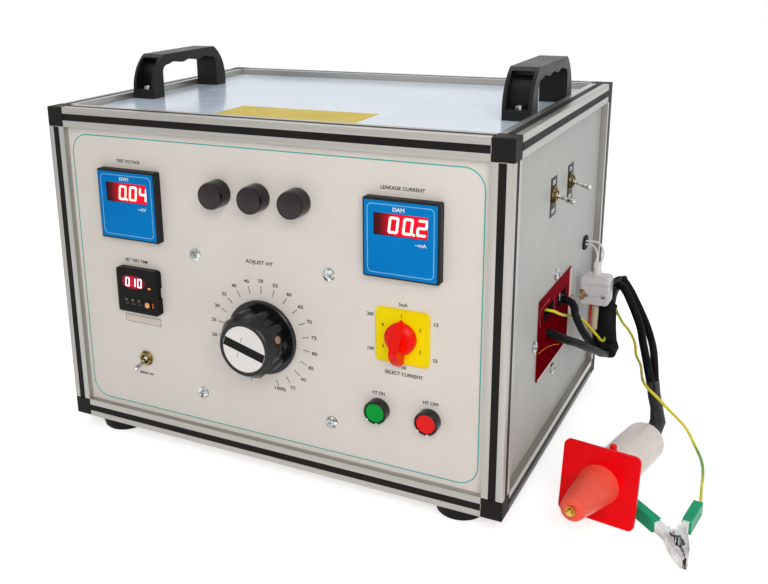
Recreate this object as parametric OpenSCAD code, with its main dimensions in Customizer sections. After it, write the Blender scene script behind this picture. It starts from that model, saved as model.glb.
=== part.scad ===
// High voltage tester: a case of aluminium profile with sheet panels, two panel meters, a counter,
// signal lamps, a variable transformer with its dial, a current selector, switches, a probe gun on
// its cable and an earth clip. Millimetres, +Z up; the operator looks along +Y at the front.

/* [Case] */
// Outside width of the case
case_w = 490; // [480:1:560]
// Outside depth of the case
case_d = 360; // [350:1:440]
// Outside height of the frame, without feet and handles
case_h = 344; // [338:1:420]
// Side of the square frame profile
profile = 20; // [19:0.5:23]
// Thickness of the sheet panels
panel_t = 3; // [2:0.5:4]
// Distance of the panels' faces behind the outside of the frame
panel_recess = 6.6; // [5:0.2:8]
// Width of the outer groove that takes a cover strip
groove_w = 7; // [5:0.5:9]
// Depth of the outer groove
groove_d = 1.5; // [1:0.1:2.5]
// Depth of the slot that takes a panel's edge
slot_d = 6; // [4:0.5:6.5]
// Diameter of the channel along the middle of the profile
channel_d = 6; // [4:0.5:7]
// Length of a corner block's peg in that channel
peg_len = 12; // [8:1:20]
// Rounding of the corner blocks' edges
block_round = 1.5; // [0.5:0.5:3]

/* [Fits] */
// Clearance round a fixed piece in its seat
fit = 0.1; // [0.05:0.05:0.2]
// Clearance round a piece that slides or tilts
slide_gap = 0.3; // [0.25:0.05:0.4]
// Radial clearance of a shaft in its bearing
shaft_gap = 0.05; // [0.02:0.01:0.1]

/* [Feet and bolts] */
// Diameter of a foot at the case
foot_d = 52; // [40:1:54]
// Diameter of a foot on the floor
foot_base_d = 46; // [34:1:50]
// Height of a foot
foot_h = 13; // [10:0.5:20]
// Distance of a foot's centre from the inside of the profile, along the width
foot_in_x = 27; // [25:1:60]
// The same distance along the depth
foot_in_y = 7; // [7:0.5:40]
// Diameter of the foot's boss, which reaches the bottom panel
foot_boss_d = 13; // [10:0.5:13.5]
// Rubber between a foot's bolt head and the case
foot_floor = 6; // [4:0.5:8]
// Thread diameter of the feet's and handles' bolts
bolt_d = 5; // [4:0.5:6]
// Length of those bolts under the head
bolt_len = 20; // [18:1:30]
// Diameter of the bolt heads
bolt_head_d = 9.5; // [8:0.5:11]
// Height of the bolt heads
bolt_head_h = 3.5; // [2.5:0.5:4]
// Width of the nuts across their corners
nut_d = 9.2; // [8:0.2:11]
// Height of the nuts
nut_h = 4; // [3:0.5:4]

/* [Handles] */
// Width of a handle
handle_w = 28; // [24:1:36]
// Length of a handle over its legs
handle_len = 142; // [130:1:180]
// Height of a handle over the top panel
handle_h = 46.6; // [42:0.5:60]
// Depth of a leg at its foot
leg_d = 19; // [17:0.5:24]
// How far a leg's outer face leans in at the top
leg_lean = 22; // [16:0.5:24]
// Height of the upright stretch at a leg's foot
leg_foot_h = 8; // [4:0.5:12]
// Thickness of a leg's floor, which the bolt holds down
leg_floor = 10; // [8:0.5:12]
// Wall thickness of a handle
handle_wall = 3.5; // [2.5:0.5:4.5]
// Thickness of the grip over the finger hollows
grip_t = 9.4; // [8:0.2:12]
// Height of the waves between the fingers
finger_wave = 2.4; // [1:0.2:3]
// Rounding where the grip meets the legs
grip_round = 8; // [4:0.5:10]
// Distance of the handles from the case's sides
handle_in = 20.5; // [20.2:0.1:60]
// Distance of the handles from the case's front
handle_y = 115; // [80:1:150]

/* [Meters] */
// Side of a meter's square bezel
meter_side = 72; // [70:1:80]
// How far a meter's bezel stands out
meter_out = 9; // [6:0.5:14]
// Side of a meter's body behind the panel
meter_body = 67; // [60:1:68]
// Depth of a meter's body from the panel's face
meter_depth = 75; // [50:1:110]
// Width of a meter's black rim
meter_rim = 2; // [1.5:0.5:4]
// Distance of the meters' centres from the case's sides
meter_in = 97; // [92:1:110]
// Height of the meters' centres over the frame's underside
meter_z = 249.3; // [245:0.5:255]
// Width of a meter's display window
window_w = 50.5; // [40:0.5:56]
// Height of a meter's display window
window_h = 20; // [14:0.5:24]
// Height of the window's middle over the meter's middle
window_up = 13.3; // [6:0.1:16]
// Thickness of the display windows
window_t = 1.9; // [1:0.1:3]

/* [Counter] */
// Width of the counter's bezel
counter_w = 52; // [50:1:60]
// Height of the counter's bezel
counter_h = 48; // [46:1:56]
// How far the counter's bezel stands out
counter_out = 8.5; // [6:0.5:12]
// Side of the counter's body behind the panel
counter_body = 44.5; // [40:0.5:45]
// Depth of the counter's body from the panel's face
counter_depth = 80; // [50:1:110]
// Distance of the counter and the power switch from the case's left side
counter_in = 100; // [90:1:104]
// Height of the counter's centre
counter_z = 158.5; // [150:0.5:164]
// Width of a setting key
key_w = 6; // [4:0.5:6.5]
// Height of a setting key
key_h = 4; // [3:0.5:5]
// Travel of the counter's keys
key_travel = 0.8; // [0.4:0.1:1.2]
// Side of the square reset key
reset_side = 8; // [6:0.5:9]

/* [Lamps] */
// Diameter of a signal lamp
lamp_d = 27; // [24.5:0.5:32]
// How far a lamp stands out
lamp_out = 16.5; // [10:0.5:22]
// Diameter of a lamp's lens
lens_d = 24.5; // [18:0.5:25]
// Diameter of a lamp's threaded barrel
lamp_barrel_d = 22; // [16:0.5:22]
// Distance between the lamps
lamp_pitch = 43; // [36:1:48]
// Height of the lamps' centres
lamp_z = 271; // [266:0.5:276]

/* [Dial and variable transformer] */
// Height of the dial's centre
dial_z = 131.5; // [128:0.5:140]
// Diameter of the knob's skirt
skirt_d = 75; // [70:1:80]
// Thickness of the skirt
skirt_t = 4; // [3:0.5:6]
// Diameter over the knob's lobes
knob_d = 66; // [60:1:70]
// Depth of the hollows between the lobes
lobe_depth = 3; // [1.5:0.5:4]
// How far the knob's front stands out from the panel
knob_out = 35; // [30:0.5:42]
// Diameter of the white disc in the knob
disc_d = 46; // [36:1:48]
// Reach of the pointer from the dial's centre
pointer_r = 43; // [41:0.5:46]
// Angle of the pointer at 0 %, anticlockwise from +X as seen from the front
pointer_angle = 252.3; // [240:0.1:260]
// Diameter of the dial shaft
shaft_d = 8; // [6:0.5:10]
// Side of the transformer's base plate
base_side = 166; // [160:1:172]
// Thickness of that base plate
base_t = 8; // [5:0.5:12]
// Distance between the base plate's screws
base_pitch = 148.4; // [146:0.2:150]
// Outside diameter of the coil
coil_d = 164; // [140:1:166]
// Diameter of the coil's hole
coil_bore = 68; // [50:1:90]
// Height of the coil
coil_h = 62; // [40:1:80]

/* [Current selector] */
// Side of the selector's yellow plate
selector_side = 52; // [48:1:60]
// Thickness of that plate
selector_t = 3.2; // [2:0.2:5]
// Distance of the selector's centre from the case's right side
selector_in = 98; // [90:1:104]
// Height of the selector's centre
selector_z = 157.6; // [150:0.5:164]
// Diameter of the handle's round base
selector_base_d = 29.5; // [26:0.5:34]
// How far the handle stands out from the plate
selector_out = 20; // [16:0.5:24]
// Thickness of the handle's wing
wing_t = 8.5; // [6:0.5:12]
// Reach of the wing's tail
wing_tail = 25; // [20:0.5:25.5]
// Diameter of the selector's spindle
spindle_d = 6; // [5:0.5:8]
// Side of the switch body behind the panel
selector_body_side = 45; // [36:1:50]
// Depth of the switch body
selector_depth = 52; // [30:1:70]

/* [Toggle switches] */
// Height of the power switch's centre
power_z = 82; // [76:0.5:90]
// Distance of the first side switch from the case's front
side_switch_y1 = 149; // [140:1:155]
// Distance of the second side switch from the case's front
side_switch_y2 = 212; // [206:1:225]
// Height of the side switches' centres
side_switch_z = 264; // [255:0.5:270]
// Diameter of a switch's threaded bush
bush_d = 11.6; // [10:0.2:12.4]
// How far the bush stands out
bush_out = 4.5; // [4:0.5:9]
// Length of the lever from its pivot
lever_len = 21.5; // [18:0.5:32]
// Diameter of the lever at its tip
lever_tip_d = 5; // [4:0.2:6]
// Diameter of the lever at the bush
lever_root_d = 3; // [2.4:0.2:3.6]
// Tilt of the lever at each end of its travel
lever_tilt = 15; // [10:0.5:16]

/* [Push buttons] */
// Distance of the buttons' middle from the case's right side
button_in = 97; // [92:1:104]
// Distance between the two buttons
button_pitch = 50; // [36:1:60]
// Height of the buttons' centres
button_z = 81.2; // [76:0.5:88]
// Diameter of a button's bezel
button_d = 22.5; // [21:0.5:28]
// How far the bezel stands out
button_out = 10; // [8:0.5:14]
// Diameter of the cap
cap_d = 18.4; // [16:0.2:18.6]
// Travel of a button
button_travel = 3.5; // [2:0.1:3.8]

/* [Right side] */
// Distance of the terminal plate's middle from the case's front
plate_y = 176; // [170:1:186]
// Height of the terminal plate's middle
plate_z = 126.2; // [120:0.5:132]
// Width of the terminal plate
plate_w = 121; // [112:1:124]
// Height of the terminal plate
plate_h = 82.5; // [78:0.5:88]
// Thickness of the terminal plate
plate_t = 2; // [1:0.5:3]
// Distance between the front and rear screws of the terminal unit
unit_pitch_y = 141.5; // [136:0.5:150]
// Distance between its top and bottom screws
unit_pitch_z = 101; // [98:0.5:106]
// Thread diameter of the panel screws
screw_d = 6; // [4:0.5:6.5]
// Head diameter of the panel screws
screw_head_d = 12; // [9:0.5:13]
// Distance of the cable grommet from the case's back
grommet_in = 64; // [55:1:75]
// Height of the cable grommet's centre
grommet_z = 176.4; // [165:0.5:190]

/* [Probe gun] */
// Distance of the gun's guard from the case's right side
gun_gap = 68.5; // [60:0.5:90]
// Distance of the guard from the case's front
gun_y = 64; // [40:1:90]
// Turn of the gun from the case's depth
gun_yaw = 8; // [0:0.5:15]
// Side of the square guard
guard_side = 70; // [60:1:80]
// Thickness of the guard
guard_t = 3; // [2:0.5:5]
// Diameter of the cone at the guard
cone_d = 43; // [36:1:50]
// Diameter of the cone at its end
cone_end_d = 21; // [16:0.5:26]
// Length of the cone
cone_len = 66; // [50:1:80]
// Diameter of the gun's tube
tube_d = 40.4; // [34:0.2:46]
// Length of the tube behind the guard
tube_len = 131; // [115:1:170]
// Wall of the tube
tube_wall = 2.5; // [1.5:0.5:4]
// Rounding of the tube's rear edge
tube_round = 6; // [2:0.5:8]
// Diameter of the brass tip
tip_d = 5; // [3:0.5:7]
// How far the brass tip stands out of the cone
tip_out = 6.5; // [3:0.5:10]
// Distance of the trigger button behind the guard's face
trigger_y = 32; // [24:1:60]
// Diameter of the trigger button
trigger_d = 6.5; // [5:0.5:8]
// How far the trigger button stands over the tube
trigger_out = 8; // [6:0.5:10]
// Travel of the trigger button
trigger_travel = 2; // [1:0.1:2.5]

/* [Earth clip] */
// Distance of the clip's rivet from the case's right side
clip_x = 138; // [130:1:160]
// Distance of the clip's rivet from the case's front
clip_y = 54; // [40:1:70]
// Turn of the clip, anticlockwise from above
clip_turn = 19.4; // [10:0.2:30]
// Width of the clip, which lies on its side
clip_w = 13; // [11:0.5:16]
// Sheet thickness of the clip
clip_t = 1; // [0.8:0.1:1.4]
// Length of the jaws from the rivet
jaw_len = 36; // [30:0.5:44]
// Half width of the clip at the rivet
clip_half = 9; // [8:0.5:11]
// Spread of each arm from the middle
arm_spread = 27; // [20:0.5:32]
// Length of an arm from the rivet to the sleeve
arm_len = 22; // [18:0.5:28]
// Length of a sleeve
sleeve_len = 38; // [30:0.5:46]
// Width of a sleeve
sleeve_w = 8.5; // [7:0.5:10]
// Diameter of the clip's rivet
rivet_d = 3; // [2.5:0.1:4]

/* [Cables] */
// Diameter of the high voltage cable
hv_cable_d = 8.5; // [6:0.5:8.5]
// Diameter of the control cable
control_cable_d = 8; // [6:0.5:8]
// Diameter of the earth wire
earth_wire_d = 3; // [2:0.5:3]
// Diameter of the terminal block's wires
signal_wire_d = 2.4; // [1.5:0.1:2.6]

/* [Hidden] */

over = 1;
right = 90;
panel_inset = profile - slot_d + 0.5;
panel_back = panel_recess + panel_t;
groove_from = (profile - groove_w) / 2;

dial_x = case_w / 2;
meter_xs = [meter_in, case_w - meter_in];
lamp_xs = [dial_x - lamp_pitch, dial_x, dial_x + lamp_pitch];
selector_x = case_w - selector_in;
button_xs = [case_w - button_in - button_pitch / 2, case_w - button_in + button_pitch / 2];
side_switch_ys = [side_switch_y1, side_switch_y2];
handle_xs = [handle_in, case_w - handle_in - handle_w];
foot_xs = [profile + foot_in_x, case_w - profile - foot_in_x];
foot_ys = [profile + foot_in_y, case_d - profile - foot_in_y];
leg_bolt_in = (leg_d - handle_wall) / 2;
handle_bolt_ys = [leg_bolt_in, handle_len - leg_bolt_in];

counter_keys = [[-13.3, -9.5], [-5.3, -9.5], [2.7, -9.5]];
counter_window = [1, 9.5];
counter_window_w = 38;
counter_window_h = 14.5;
reset_place = [13.4, -12.4];
key_pocket = 3;

lens_seat = 4;
lens_dome = 1.4;
lamp_barrel_len = 30;
lamp_body_len = 12;
barrel_d = 16;
barrel_len = 24;
button_body_len = 14;
tab_len = 7;
stem_r = 4;
cap_t = 4.6;
cup_floor = button_out - cap_t - button_travel - slide_gap - 0.2;
selector_bush_d = spindle_d + 8;
pivot_out = 1;
bush_mouth_d = 9.4;
bush_floor = -2.8;

coil_front = panel_t + base_t;
coil_rear = coil_front + coil_h;
track_z = coil_rear + 0.5;
hub_d = 30;
skirt_gap = 0.6;
disc_t = 1.4;
brush_gap = slide_gap;
brush_r = (coil_d + coil_bore) / 4;
arm_t = 8;

grommet_y = case_d - grommet_in;
grommet_w = 20;
grommet_h = 15;
unit_w = 100;
unit_h = 50;
unit_up = 4;
unit_flange_t = 4;
unit_depth = 46;
plate_windows = [[-25.5, 21], [22.7, 18.5]];
plate_window_w = 42.5;
plate_window_h = 16;
hv_outlet_d = 11;

core_w = 120;
core_d = 46;
core_h = 104;
winding_w = 78;
winding_d = 104;
winding_h = 66;
board_w = 150;
board_d = 110;

inlet_x = 96;
inlet_z = 62;
inlet_w = 28;
inlet_h = 48;
inlet_depth = 22;
inlet_cavity = [24.6, 17];
inlet_cavity_z = 8;
inlet_cavity_depth = 16;

guard_plug_len = 8;
tip_root_len = 20;
cheek_gap = 0.4;
jaw_gap = 0.3;

// The gun leans back until the guard's lower edge and the tube's rounded end both lie on the floor
lean_a = (guard_side - tube_d) / 2 + tube_round;
lean_b = tube_len - tube_round;
gun_tilt = acos(tube_round / norm([lean_a, lean_b])) - atan2(lean_b, lean_a);
gun_z = -foot_h + guard_side / 2 * cos(gun_tilt) + guard_t * sin(gun_tilt);
gun_end = guard_t + tube_len;
gun_x = case_w + gun_gap;
guard_right = gun_x + guard_side / 2 * cos(gun_yaw)
    + (guard_t + guard_side / 2 * sin(gun_tilt)) * sin(gun_yaw);
knob_front = panel_recess - knob_out;

// The origin is the middle of the floor space under the case and the gun
origin = [guard_right / 2, (knob_front + case_d) / 2, -foot_h];

// Middle stretches of the cables, in millimetres from the frame's front left lower corner
hv_middle = [
    [491, 147.5, 124.5], [500, 157, 117.5], [507.5, 177.5, 107], [512, 200, 95], [516, 225.5, 82],
    [518.5, 251, 69], [519.5, 270.5, 62.5], [519.5, 282, 62.5], [517.5, 291, 69], [516, 294, 80],
    [515, 294.5, 93.5], [514, 299, 105], [515, 301.5, 117], [519, 298, 128], [525, 292.5, 134],
    [531.5, 287, 130.5], [538, 285, 120], [545, 282.5, 107], [552, 275, 95], [558, 260.5, 84.5],
    [564, 246, 75], [569, 236, 64.5], [573, 232.5, 51], [576, 231, 37.5], [579, 230.5, 26],
    [580.5, 226, 16.5], [580, 216, 11]
];
control_middle = [
    [491.5, 199.5, 142.5], [496, 204.5, 136], [495.5, 216, 123], [497.5, 230, 106], [501, 244, 89.5],
    [505, 259.5, 75], [508.5, 275.5, 65.5], [508.5, 291, 64.5], [506.5, 300.5, 72], [506, 303, 85.5],
    [506, 305, 98.5], [507, 311, 109.5], [511, 312.5, 122], [517.5, 309, 132.5], [525, 304.5, 136],
    [533.5, 301, 128.5], [541, 299.5, 116.5], [548, 300, 103], [554.5, 299.5, 90], [560.5, 293.5, 78.5],
    [566.5, 278, 71], [571, 260, 64.5], [574.5, 247, 54], [577, 241.5, 41], [580, 241, 26],
    [583.5, 233.5, 10.5], [582, 222.5, 3], [580, 212, 1]
];
earth_middle = [
    [490, 168, 139], [489, 220.5, 118], [491.5, 229, 115], [495, 236, 111], [500.5, 239.5, 106.5],
    [505.5, 244.5, 98.5], [511.5, 253.5, 87.5], [514, 265, 78], [515.5, 273, 75.5], [514, 282, 82],
    [513.5, 286.5, 94], [514, 289, 103], [516.5, 291, 109], [520, 290.5, 109.5], [524, 289.5, 104],
    [530, 290.5, 93], [537.5, 297.5, 80], [543.5, 299, 67.5], [547.5, 289.5, 57.5], [555, 273.5, 54.5],
    [560.5, 250.5, 54], [565.5, 231.5, 54], [572.5, 218.5, 53], [582, 213.5, 48], [592, 217.5, 36.5],
    [601, 228.5, 22], [611.5, 237, 6], [620.5, 232, -6.5], [630, 211, -11], [635, 182, -11],
    [637, 155, -9], [639, 133, -7]
];
white_middle_1 = [
    [493, 296.3, 178.6], [501, 296, 176.5], [507, 294, 170], [509, 290, 161], [508, 284, 153]
];
white_middle_2 = [
    [491, 296.2, 174.4], [498, 294, 171], [503, 290, 163], [504, 284, 155]
];
beige_middle = [[504, 274, 104], [505, 268, 95], [506.5, 262, 87]];

// The ends that these points belong to, as they are at the sizes above
hv_ends = [[471.4, 146, 126.2], [577.1, 196.3, 11]];
control_ends = [[479.4, 199, 143], [576.9, 195.3, 1.9]];
earth_ends = [[471.4, 154, 146.2], [638.9, 113.1, -6.5]];
white_ends = [[472.4, 296, 176.4], [508, 280, 146]];
lead = 8;

// Where the cables leave the terminal unit and the grommet
bay_floor = 12;
bay_x = case_w - panel_recess - bay_floor;
hv_outlet = [-30, 0];
control_outlet = [23, 16.8];
earth_outlet = [-22, 20];
wire_spread = 1.9;
hv_start = [bay_x, plate_y + hv_outlet[0], plate_z + hv_outlet[1]];
control_start = [bay_x + 8, plate_y + control_outlet[0], plate_z + control_outlet[1]];
earth_start = [bay_x, plate_y + earth_outlet[0], plate_z + earth_outlet[1]];
white_start = [case_w - panel_recess - panel_t - 8, grommet_y, grommet_z];
block_centre = [case_w + 13, grommet_y - 18.6, grommet_z - 44.6];
block_size = [32, 20, 31];

// Placing

module in_place() {
    translate(-origin) children();
}

// Each face module puts children on a panel: x to the right and y up as seen from outside,
// from the corner of the case, and z outwards from the panel's outer face
module front_face() {
    translate([0, panel_recess, 0]) rotate([90, 0, 0]) children();
}

module back_face() {
    translate([case_w, case_d - panel_recess, 0]) rotate([90, 0, 180]) children();
}

module right_face() {
    translate([case_w - panel_recess, 0, 0]) rotate([90, 0, 90]) children();
}

module left_face() {
    translate([panel_recess, case_d, 0]) rotate([90, 0, -90]) children();
}

module top_face() {
    translate([0, 0, case_h - panel_recess]) children();
}

module bottom_face() {
    translate([0, case_d, panel_recess]) rotate([180, 0, 0]) children();
}

// Along the four uprights, with the profile's outer corner at the children's origin
module at_posts() {
    corners = [[0, 0], [case_w, 0], [case_w, case_d], [0, case_d]];
    for (k = [0:3])
        translate([corners[k][0], corners[k][1], profile]) rotate([0, 0, right * k]) children();
}

module at_width_rails() {
    corners = [[0, 0], [case_d, 0], [case_d, case_h], [0, case_h]];
    for (k = [0:3])
        translate([profile, corners[k][0], corners[k][1]])
            rotate([right * k, 0, 0]) rotate([90, 0, 90]) children();
}

module at_depth_rails() {
    corners = [[0, 0], [0, case_h], [case_w, case_h], [case_w, 0]];
    for (k = [0:3])
        translate([corners[k][0], profile, corners[k][1]])
            rotate([0, right * k, 0]) rotate([0, -90, -90]) children();
}

module at_gun() {
    translate([gun_x, gun_y, gun_z]) rotate([-gun_tilt, 0, -gun_yaw]) children();
}

module at_clip() {
    translate([case_w + clip_x, clip_y, -foot_h]) rotate([0, 0, clip_turn]) children();
}

// Shapes

module round_rect(w, h, r) {
    square([w - 2 * r, h], center = true);
    square([w, h - 2 * r], center = true);
    for (sx = [-1, 1], sy = [-1, 1])
        translate([sx * (w / 2 - r), sy * (h / 2 - r)]) circle(r, $fn = 24);
}

// A block on z = 0 with round upright edges and a chamfer c round its top
module chamfer_block(w, h, d, r, c) {
    intersection() {
        linear_extrude(d) round_rect(w, h, r);
        rotate([90, 0, 0]) linear_extrude(h + over, center = true) chamfer_outline(w, d, c);
        rotate([90, 0, 90]) linear_extrude(w + over, center = true) chamfer_outline(h, d, c);
    }
}

module chamfer_outline(w, d, c) {
    polygon([[-w / 2, 0], [w / 2, 0], [w / 2, d - c], [w / 2 - c, d], [c - w / 2, d], [-w / 2, d - c]]);
}

module tube_between(r, z0, z1, fn = 32) {
    translate([0, 0, z0]) cylinder(r = r, h = z1 - z0, $fn = fn);
}

module taper(d0, d1, z0, z1, fn = 48) {
    translate([0, 0, z0]) cylinder(d1 = d0, d2 = d1, h = z1 - z0, $fn = fn);
}

module block(w, h, z0, z1) {
    translate([-w / 2, -h / 2, z0]) cube([w, h, z1 - z0]);
}

function arc(cx, cy, r, from, to, steps) =
    [for (i = [0:steps]) let (a = from + (to - from) * i / steps) [cx + r * cos(a), cy + r * sin(a)]];

function unit(v) = v / norm(v);

function tangents(route) =
    [for (i = [0:len(route) - 1]) unit(route[min(i + 1, len(route) - 1)] - route[max(i - 1, 0)])];

// Carries the side vector n along the route without twisting it
function carried(ts, n, i = 0) =
    i == len(ts) ? [] : let (m = unit(n - (n * ts[i]) * ts[i])) concat([m], carried(ts, m, i + 1));

// The middle points, moved along with the ends they belong to
function between(points, first, last, from, to) =
    [for (i = [0:len(points) - 1]) let (s = i / (len(points) - 1))
        points[i] + (1 - s) * (from - first) + s * (to - last)];

function gun_point(p) =
    let (y = p[1] * cos(gun_tilt) + p[2] * sin(gun_tilt), z = p[2] * cos(gun_tilt) - p[1] * sin(gun_tilt))
    [gun_x + y * sin(gun_yaw), gun_y + y * cos(gun_yaw), gun_z + z];

function clip_point(along, across, up) =
    let (turn = clip_turn - arm_spread, x = across * cos(turn) - along * sin(turn))
    [case_w + clip_x + x, clip_y + across * sin(turn) + along * cos(turn), up - foot_h];

// A plain tube along a route, one ring at each of its points
module cable(route, d, sides) {
    ts = tangents(route);
    ns = carried(ts, [0.1, 0.2, 1]);
    last = len(route) - 1;
    points = [for (i = [0:last], k = [0:sides - 1])
        let (a = 360 * k / sides, side = cross(ts[i], ns[i]))
        route[i] + d / 2 * (cos(a) * ns[i] + sin(a) * side)];
    walls = [for (i = [0:last - 1], k = [0:sides - 1], half = [0, 1])
        let (p = i * sides + k, q = i * sides + (k + 1) % sides)
        half == 0 ? [p, q, q + sides] : [p, q + sides, p + sides]];
    start = [[for (k = [0:sides - 1]) sides - 1 - k]];
    end = [[for (k = [0:sides - 1]) last * sides + k]];
    polyhedron(points, concat(start, end, walls), convexity = 6);
}

// Frame

module profile_section() {
    slot = panel_t + 2 * fit;
    difference() {
        union() {
            translate([1, 0]) square([profile - 1, profile]);
            translate([0, 1]) square([profile, profile - 1]);
            translate([1, 1]) circle(1, $fn = 16);
        }
        translate([-over, groove_from]) square([groove_d + over, groove_w]);
        translate([groove_from, -over]) square([groove_w, groove_d + over]);
        translate([profile - slot_d, panel_recess - fit]) square([slot_d + over, slot]);
        translate([panel_recess - fit, profile - slot_d]) square([slot, slot_d + over]);
        translate([profile / 2, profile / 2]) circle(d = channel_d, $fn = 24);
    }
}

module frame_posts() {
    color("silver") at_posts() linear_extrude(case_h - 2 * profile) profile_section();
}

module frame_rails() {
    color("silver") {
        at_width_rails() linear_extrude(case_w - 2 * profile) profile_section();
        at_depth_rails() linear_extrude(case_d - 2 * profile) profile_section();
    }
}

module strip_pair(length) {
    end_gap = 1;
    w = groove_w - 2 * fit;
    translate([0, 0, end_gap]) linear_extrude(length - 2 * end_gap) {
        translate([0, groove_from + fit]) square([groove_d, w]);
        translate([groove_from + fit, 0]) square([w, groove_d]);
    }
}

module cover_strips() {
    color("black") {
        at_posts() strip_pair(case_h - 2 * profile);
        at_width_rails() strip_pair(case_w - 2 * profile);
        at_depth_rails() strip_pair(case_d - 2 * profile);
    }
}

module corner_block() {
    peg_r = channel_d / 2 - fit;
    middle = profile / 2;
    intersection_for (turn = [[0, 0, 0], [90, 0, 90], [0, -90, -90]])
        rotate(turn) linear_extrude(profile)
            translate([middle, middle]) round_rect(profile, profile, block_round);
    for (turn = [[0, 0, 0], [90, 0, 90], [0, -90, -90]])
        rotate(turn) translate([middle, middle, profile]) cylinder(r = peg_r, h = peg_len, $fn = 24);
}

module corner_blocks() {
    color("black") for (level = [0, 1])
        translate([0, 0, level * case_h]) mirror([0, 0, level]) translate([0, 0, -profile])
            at_posts() corner_block();
}

// A panel over a w by h side of the case, with notches for the corner blocks
module sheet(w, h) {
    notch = slot_d - 0.5 + fit;
    near = panel_inset - over;
    difference() {
        translate([panel_inset, panel_inset]) square([w - 2 * panel_inset, h - 2 * panel_inset]);
        for (x = [near, w - panel_inset - notch], y = [near, h - panel_inset - notch])
            translate([x, y]) square(notch + over);
    }
}

module front_holes() {
    for (x = meter_xs)
        translate([x, meter_z]) square(meter_body + 1, center = true);
    translate([counter_in, counter_z]) square(counter_body + 0.5, center = true);
    for (x = lamp_xs)
        translate([x, lamp_z]) circle(d = lamp_barrel_d + 2 * fit, $fn = 48);
    translate([dial_x, dial_z]) {
        circle(d = shaft_d + 4, $fn = 32);
        at_base_screws() circle(d = screw_d + 2 * fit, $fn = 24);
    }
    translate([selector_x, selector_z]) circle(d = spindle_d + 8 + 2 * fit, $fn = 32);
    translate([counter_in, power_z]) circle(d = bush_d + 2 * fit, $fn = 32);
    for (x = button_xs)
        translate([x, button_z]) circle(d = barrel_d + 2 * fit, $fn = 32);
}

module at_base_screws() {
    for (sx = [-1, 1], sy = [-1, 1])
        translate([sx * base_pitch / 2, sy * base_pitch / 2]) children();
}

module front_panel() {
    color("ivory") front_face() translate([0, 0, -panel_t]) linear_extrude(panel_t) difference() {
        sheet(case_w, case_h);
        front_holes();
    }
}

module vent_slots(rows, length) {
    for (i = [0:rows - 1])
        translate([0, i * 11]) round_rect(length, 4, 1.9);
}

module back_panel() {
    color("gainsboro") back_face() translate([0, 0, -panel_t]) linear_extrude(panel_t) difference() {
        sheet(case_w, case_h);
        translate([inlet_x, inlet_z]) square([inlet_w + 2 * fit, inlet_h + 2 * fit], center = true);
        for (x = [case_w * 0.3, case_w * 0.7])
            translate([x, case_h * 0.6]) vent_slots(7, 70);
    }
}

module left_panel() {
    color("gainsboro") left_face() translate([0, 0, -panel_t]) linear_extrude(panel_t)
        sheet(case_d, case_h);
}

module at_unit_screws() {
    for (place = [[unit_pitch_y, 0], [-unit_pitch_y, 0], [0, unit_pitch_z], [0, -unit_pitch_z]])
        translate([plate_y, plate_z] + place / 2) children();
}

module right_panel() {
    color("gainsboro") right_face() translate([0, 0, -panel_t]) linear_extrude(panel_t) difference() {
        sheet(case_d, case_h);
        for (y = side_switch_ys)
            translate([y, side_switch_z]) circle(d = bush_d + 2 * fit, $fn = 32);
        translate([plate_y, plate_z + unit_up]) square([unit_w + 2 * fit, unit_h + 2 * fit], center = true);
        at_unit_screws() circle(d = screw_d + 2 * fit, $fn = 24);
        translate([grommet_y, grommet_z]) round_rect(grommet_w - 4 + 2 * fit, grommet_h - 4 + 2 * fit, 5);
    }
}

module handle_bolt_places() {
    for (x = handle_xs, y = handle_bolt_ys)
        translate([x + handle_w / 2, handle_y + y]) children();
}

module top_panel() {
    color("aliceblue") top_face() translate([0, 0, -panel_t]) linear_extrude(panel_t) difference() {
        sheet(case_w, case_d);
        handle_bolt_places() circle(d = bolt_d + 2 * fit, $fn = 24);
    }
}

module bottom_panel() {
    color("gainsboro") bottom_face() translate([0, 0, -panel_t]) linear_extrude(panel_t) difference() {
        sheet(case_w, case_d);
        for (x = foot_xs, y = foot_ys)
            translate([x, case_d - y]) circle(d = bolt_d + 2 * fit, $fn = 24);
    }
}

// Feet, handles and their bolts

module foot() {
    hole_r = bolt_d / 2 + fit;
    head_r = bolt_head_d / 2 + 1;
    rotate_extrude($fn = 48) polygon([
        [head_r, -foot_h], [foot_base_d / 2 - 1.5, -foot_h], [foot_base_d / 2, 1.5 - foot_h],
        [foot_d / 2, -1], [foot_d / 2 - 1, 0], [foot_boss_d / 2, 0], [foot_boss_d / 2, panel_recess],
        [hole_r, panel_recess], [hole_r, -foot_floor], [head_r, -foot_floor]
    ]);
}

module feet() {
    color("dimgray") for (x = foot_xs, y = foot_ys) translate([x, y, 0]) foot();
}

// A bolt with its head on z = 0, pointing down, and its nut with its top at nut_top
module bolt(nut_top) {
    translate([0, 0, -bolt_len]) cylinder(d = bolt_d, h = bolt_len, $fn = 24);
    difference() {
        union() {
            cylinder(d = bolt_head_d, h = bolt_head_h - 1, $fn = 32);
            taper(bolt_head_d, bolt_head_d - 2, bolt_head_h - 1, bolt_head_h, 32);
        }
        translate([0, 0, 1]) cylinder(d = 4.5, h = bolt_head_h, $fn = 6);
    }
    translate([0, 0, nut_top - nut_h]) difference() {
        cylinder(d = nut_d, h = nut_h, $fn = 6);
        translate([0, 0, -over]) cylinder(d = bolt_d + 2 * shaft_gap, h = nut_h + 2 * over, $fn = 24);
    }
}

module case_bolts() {
    color("slategray") {
        for (x = foot_xs, y = foot_ys)
            translate([x, y, -foot_floor]) rotate([180, 0, 0]) bolt(-foot_floor - panel_back);
        top_face() handle_bolt_places() translate([0, 0, leg_floor]) bolt(-leg_floor - panel_t);
    }
}

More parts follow.
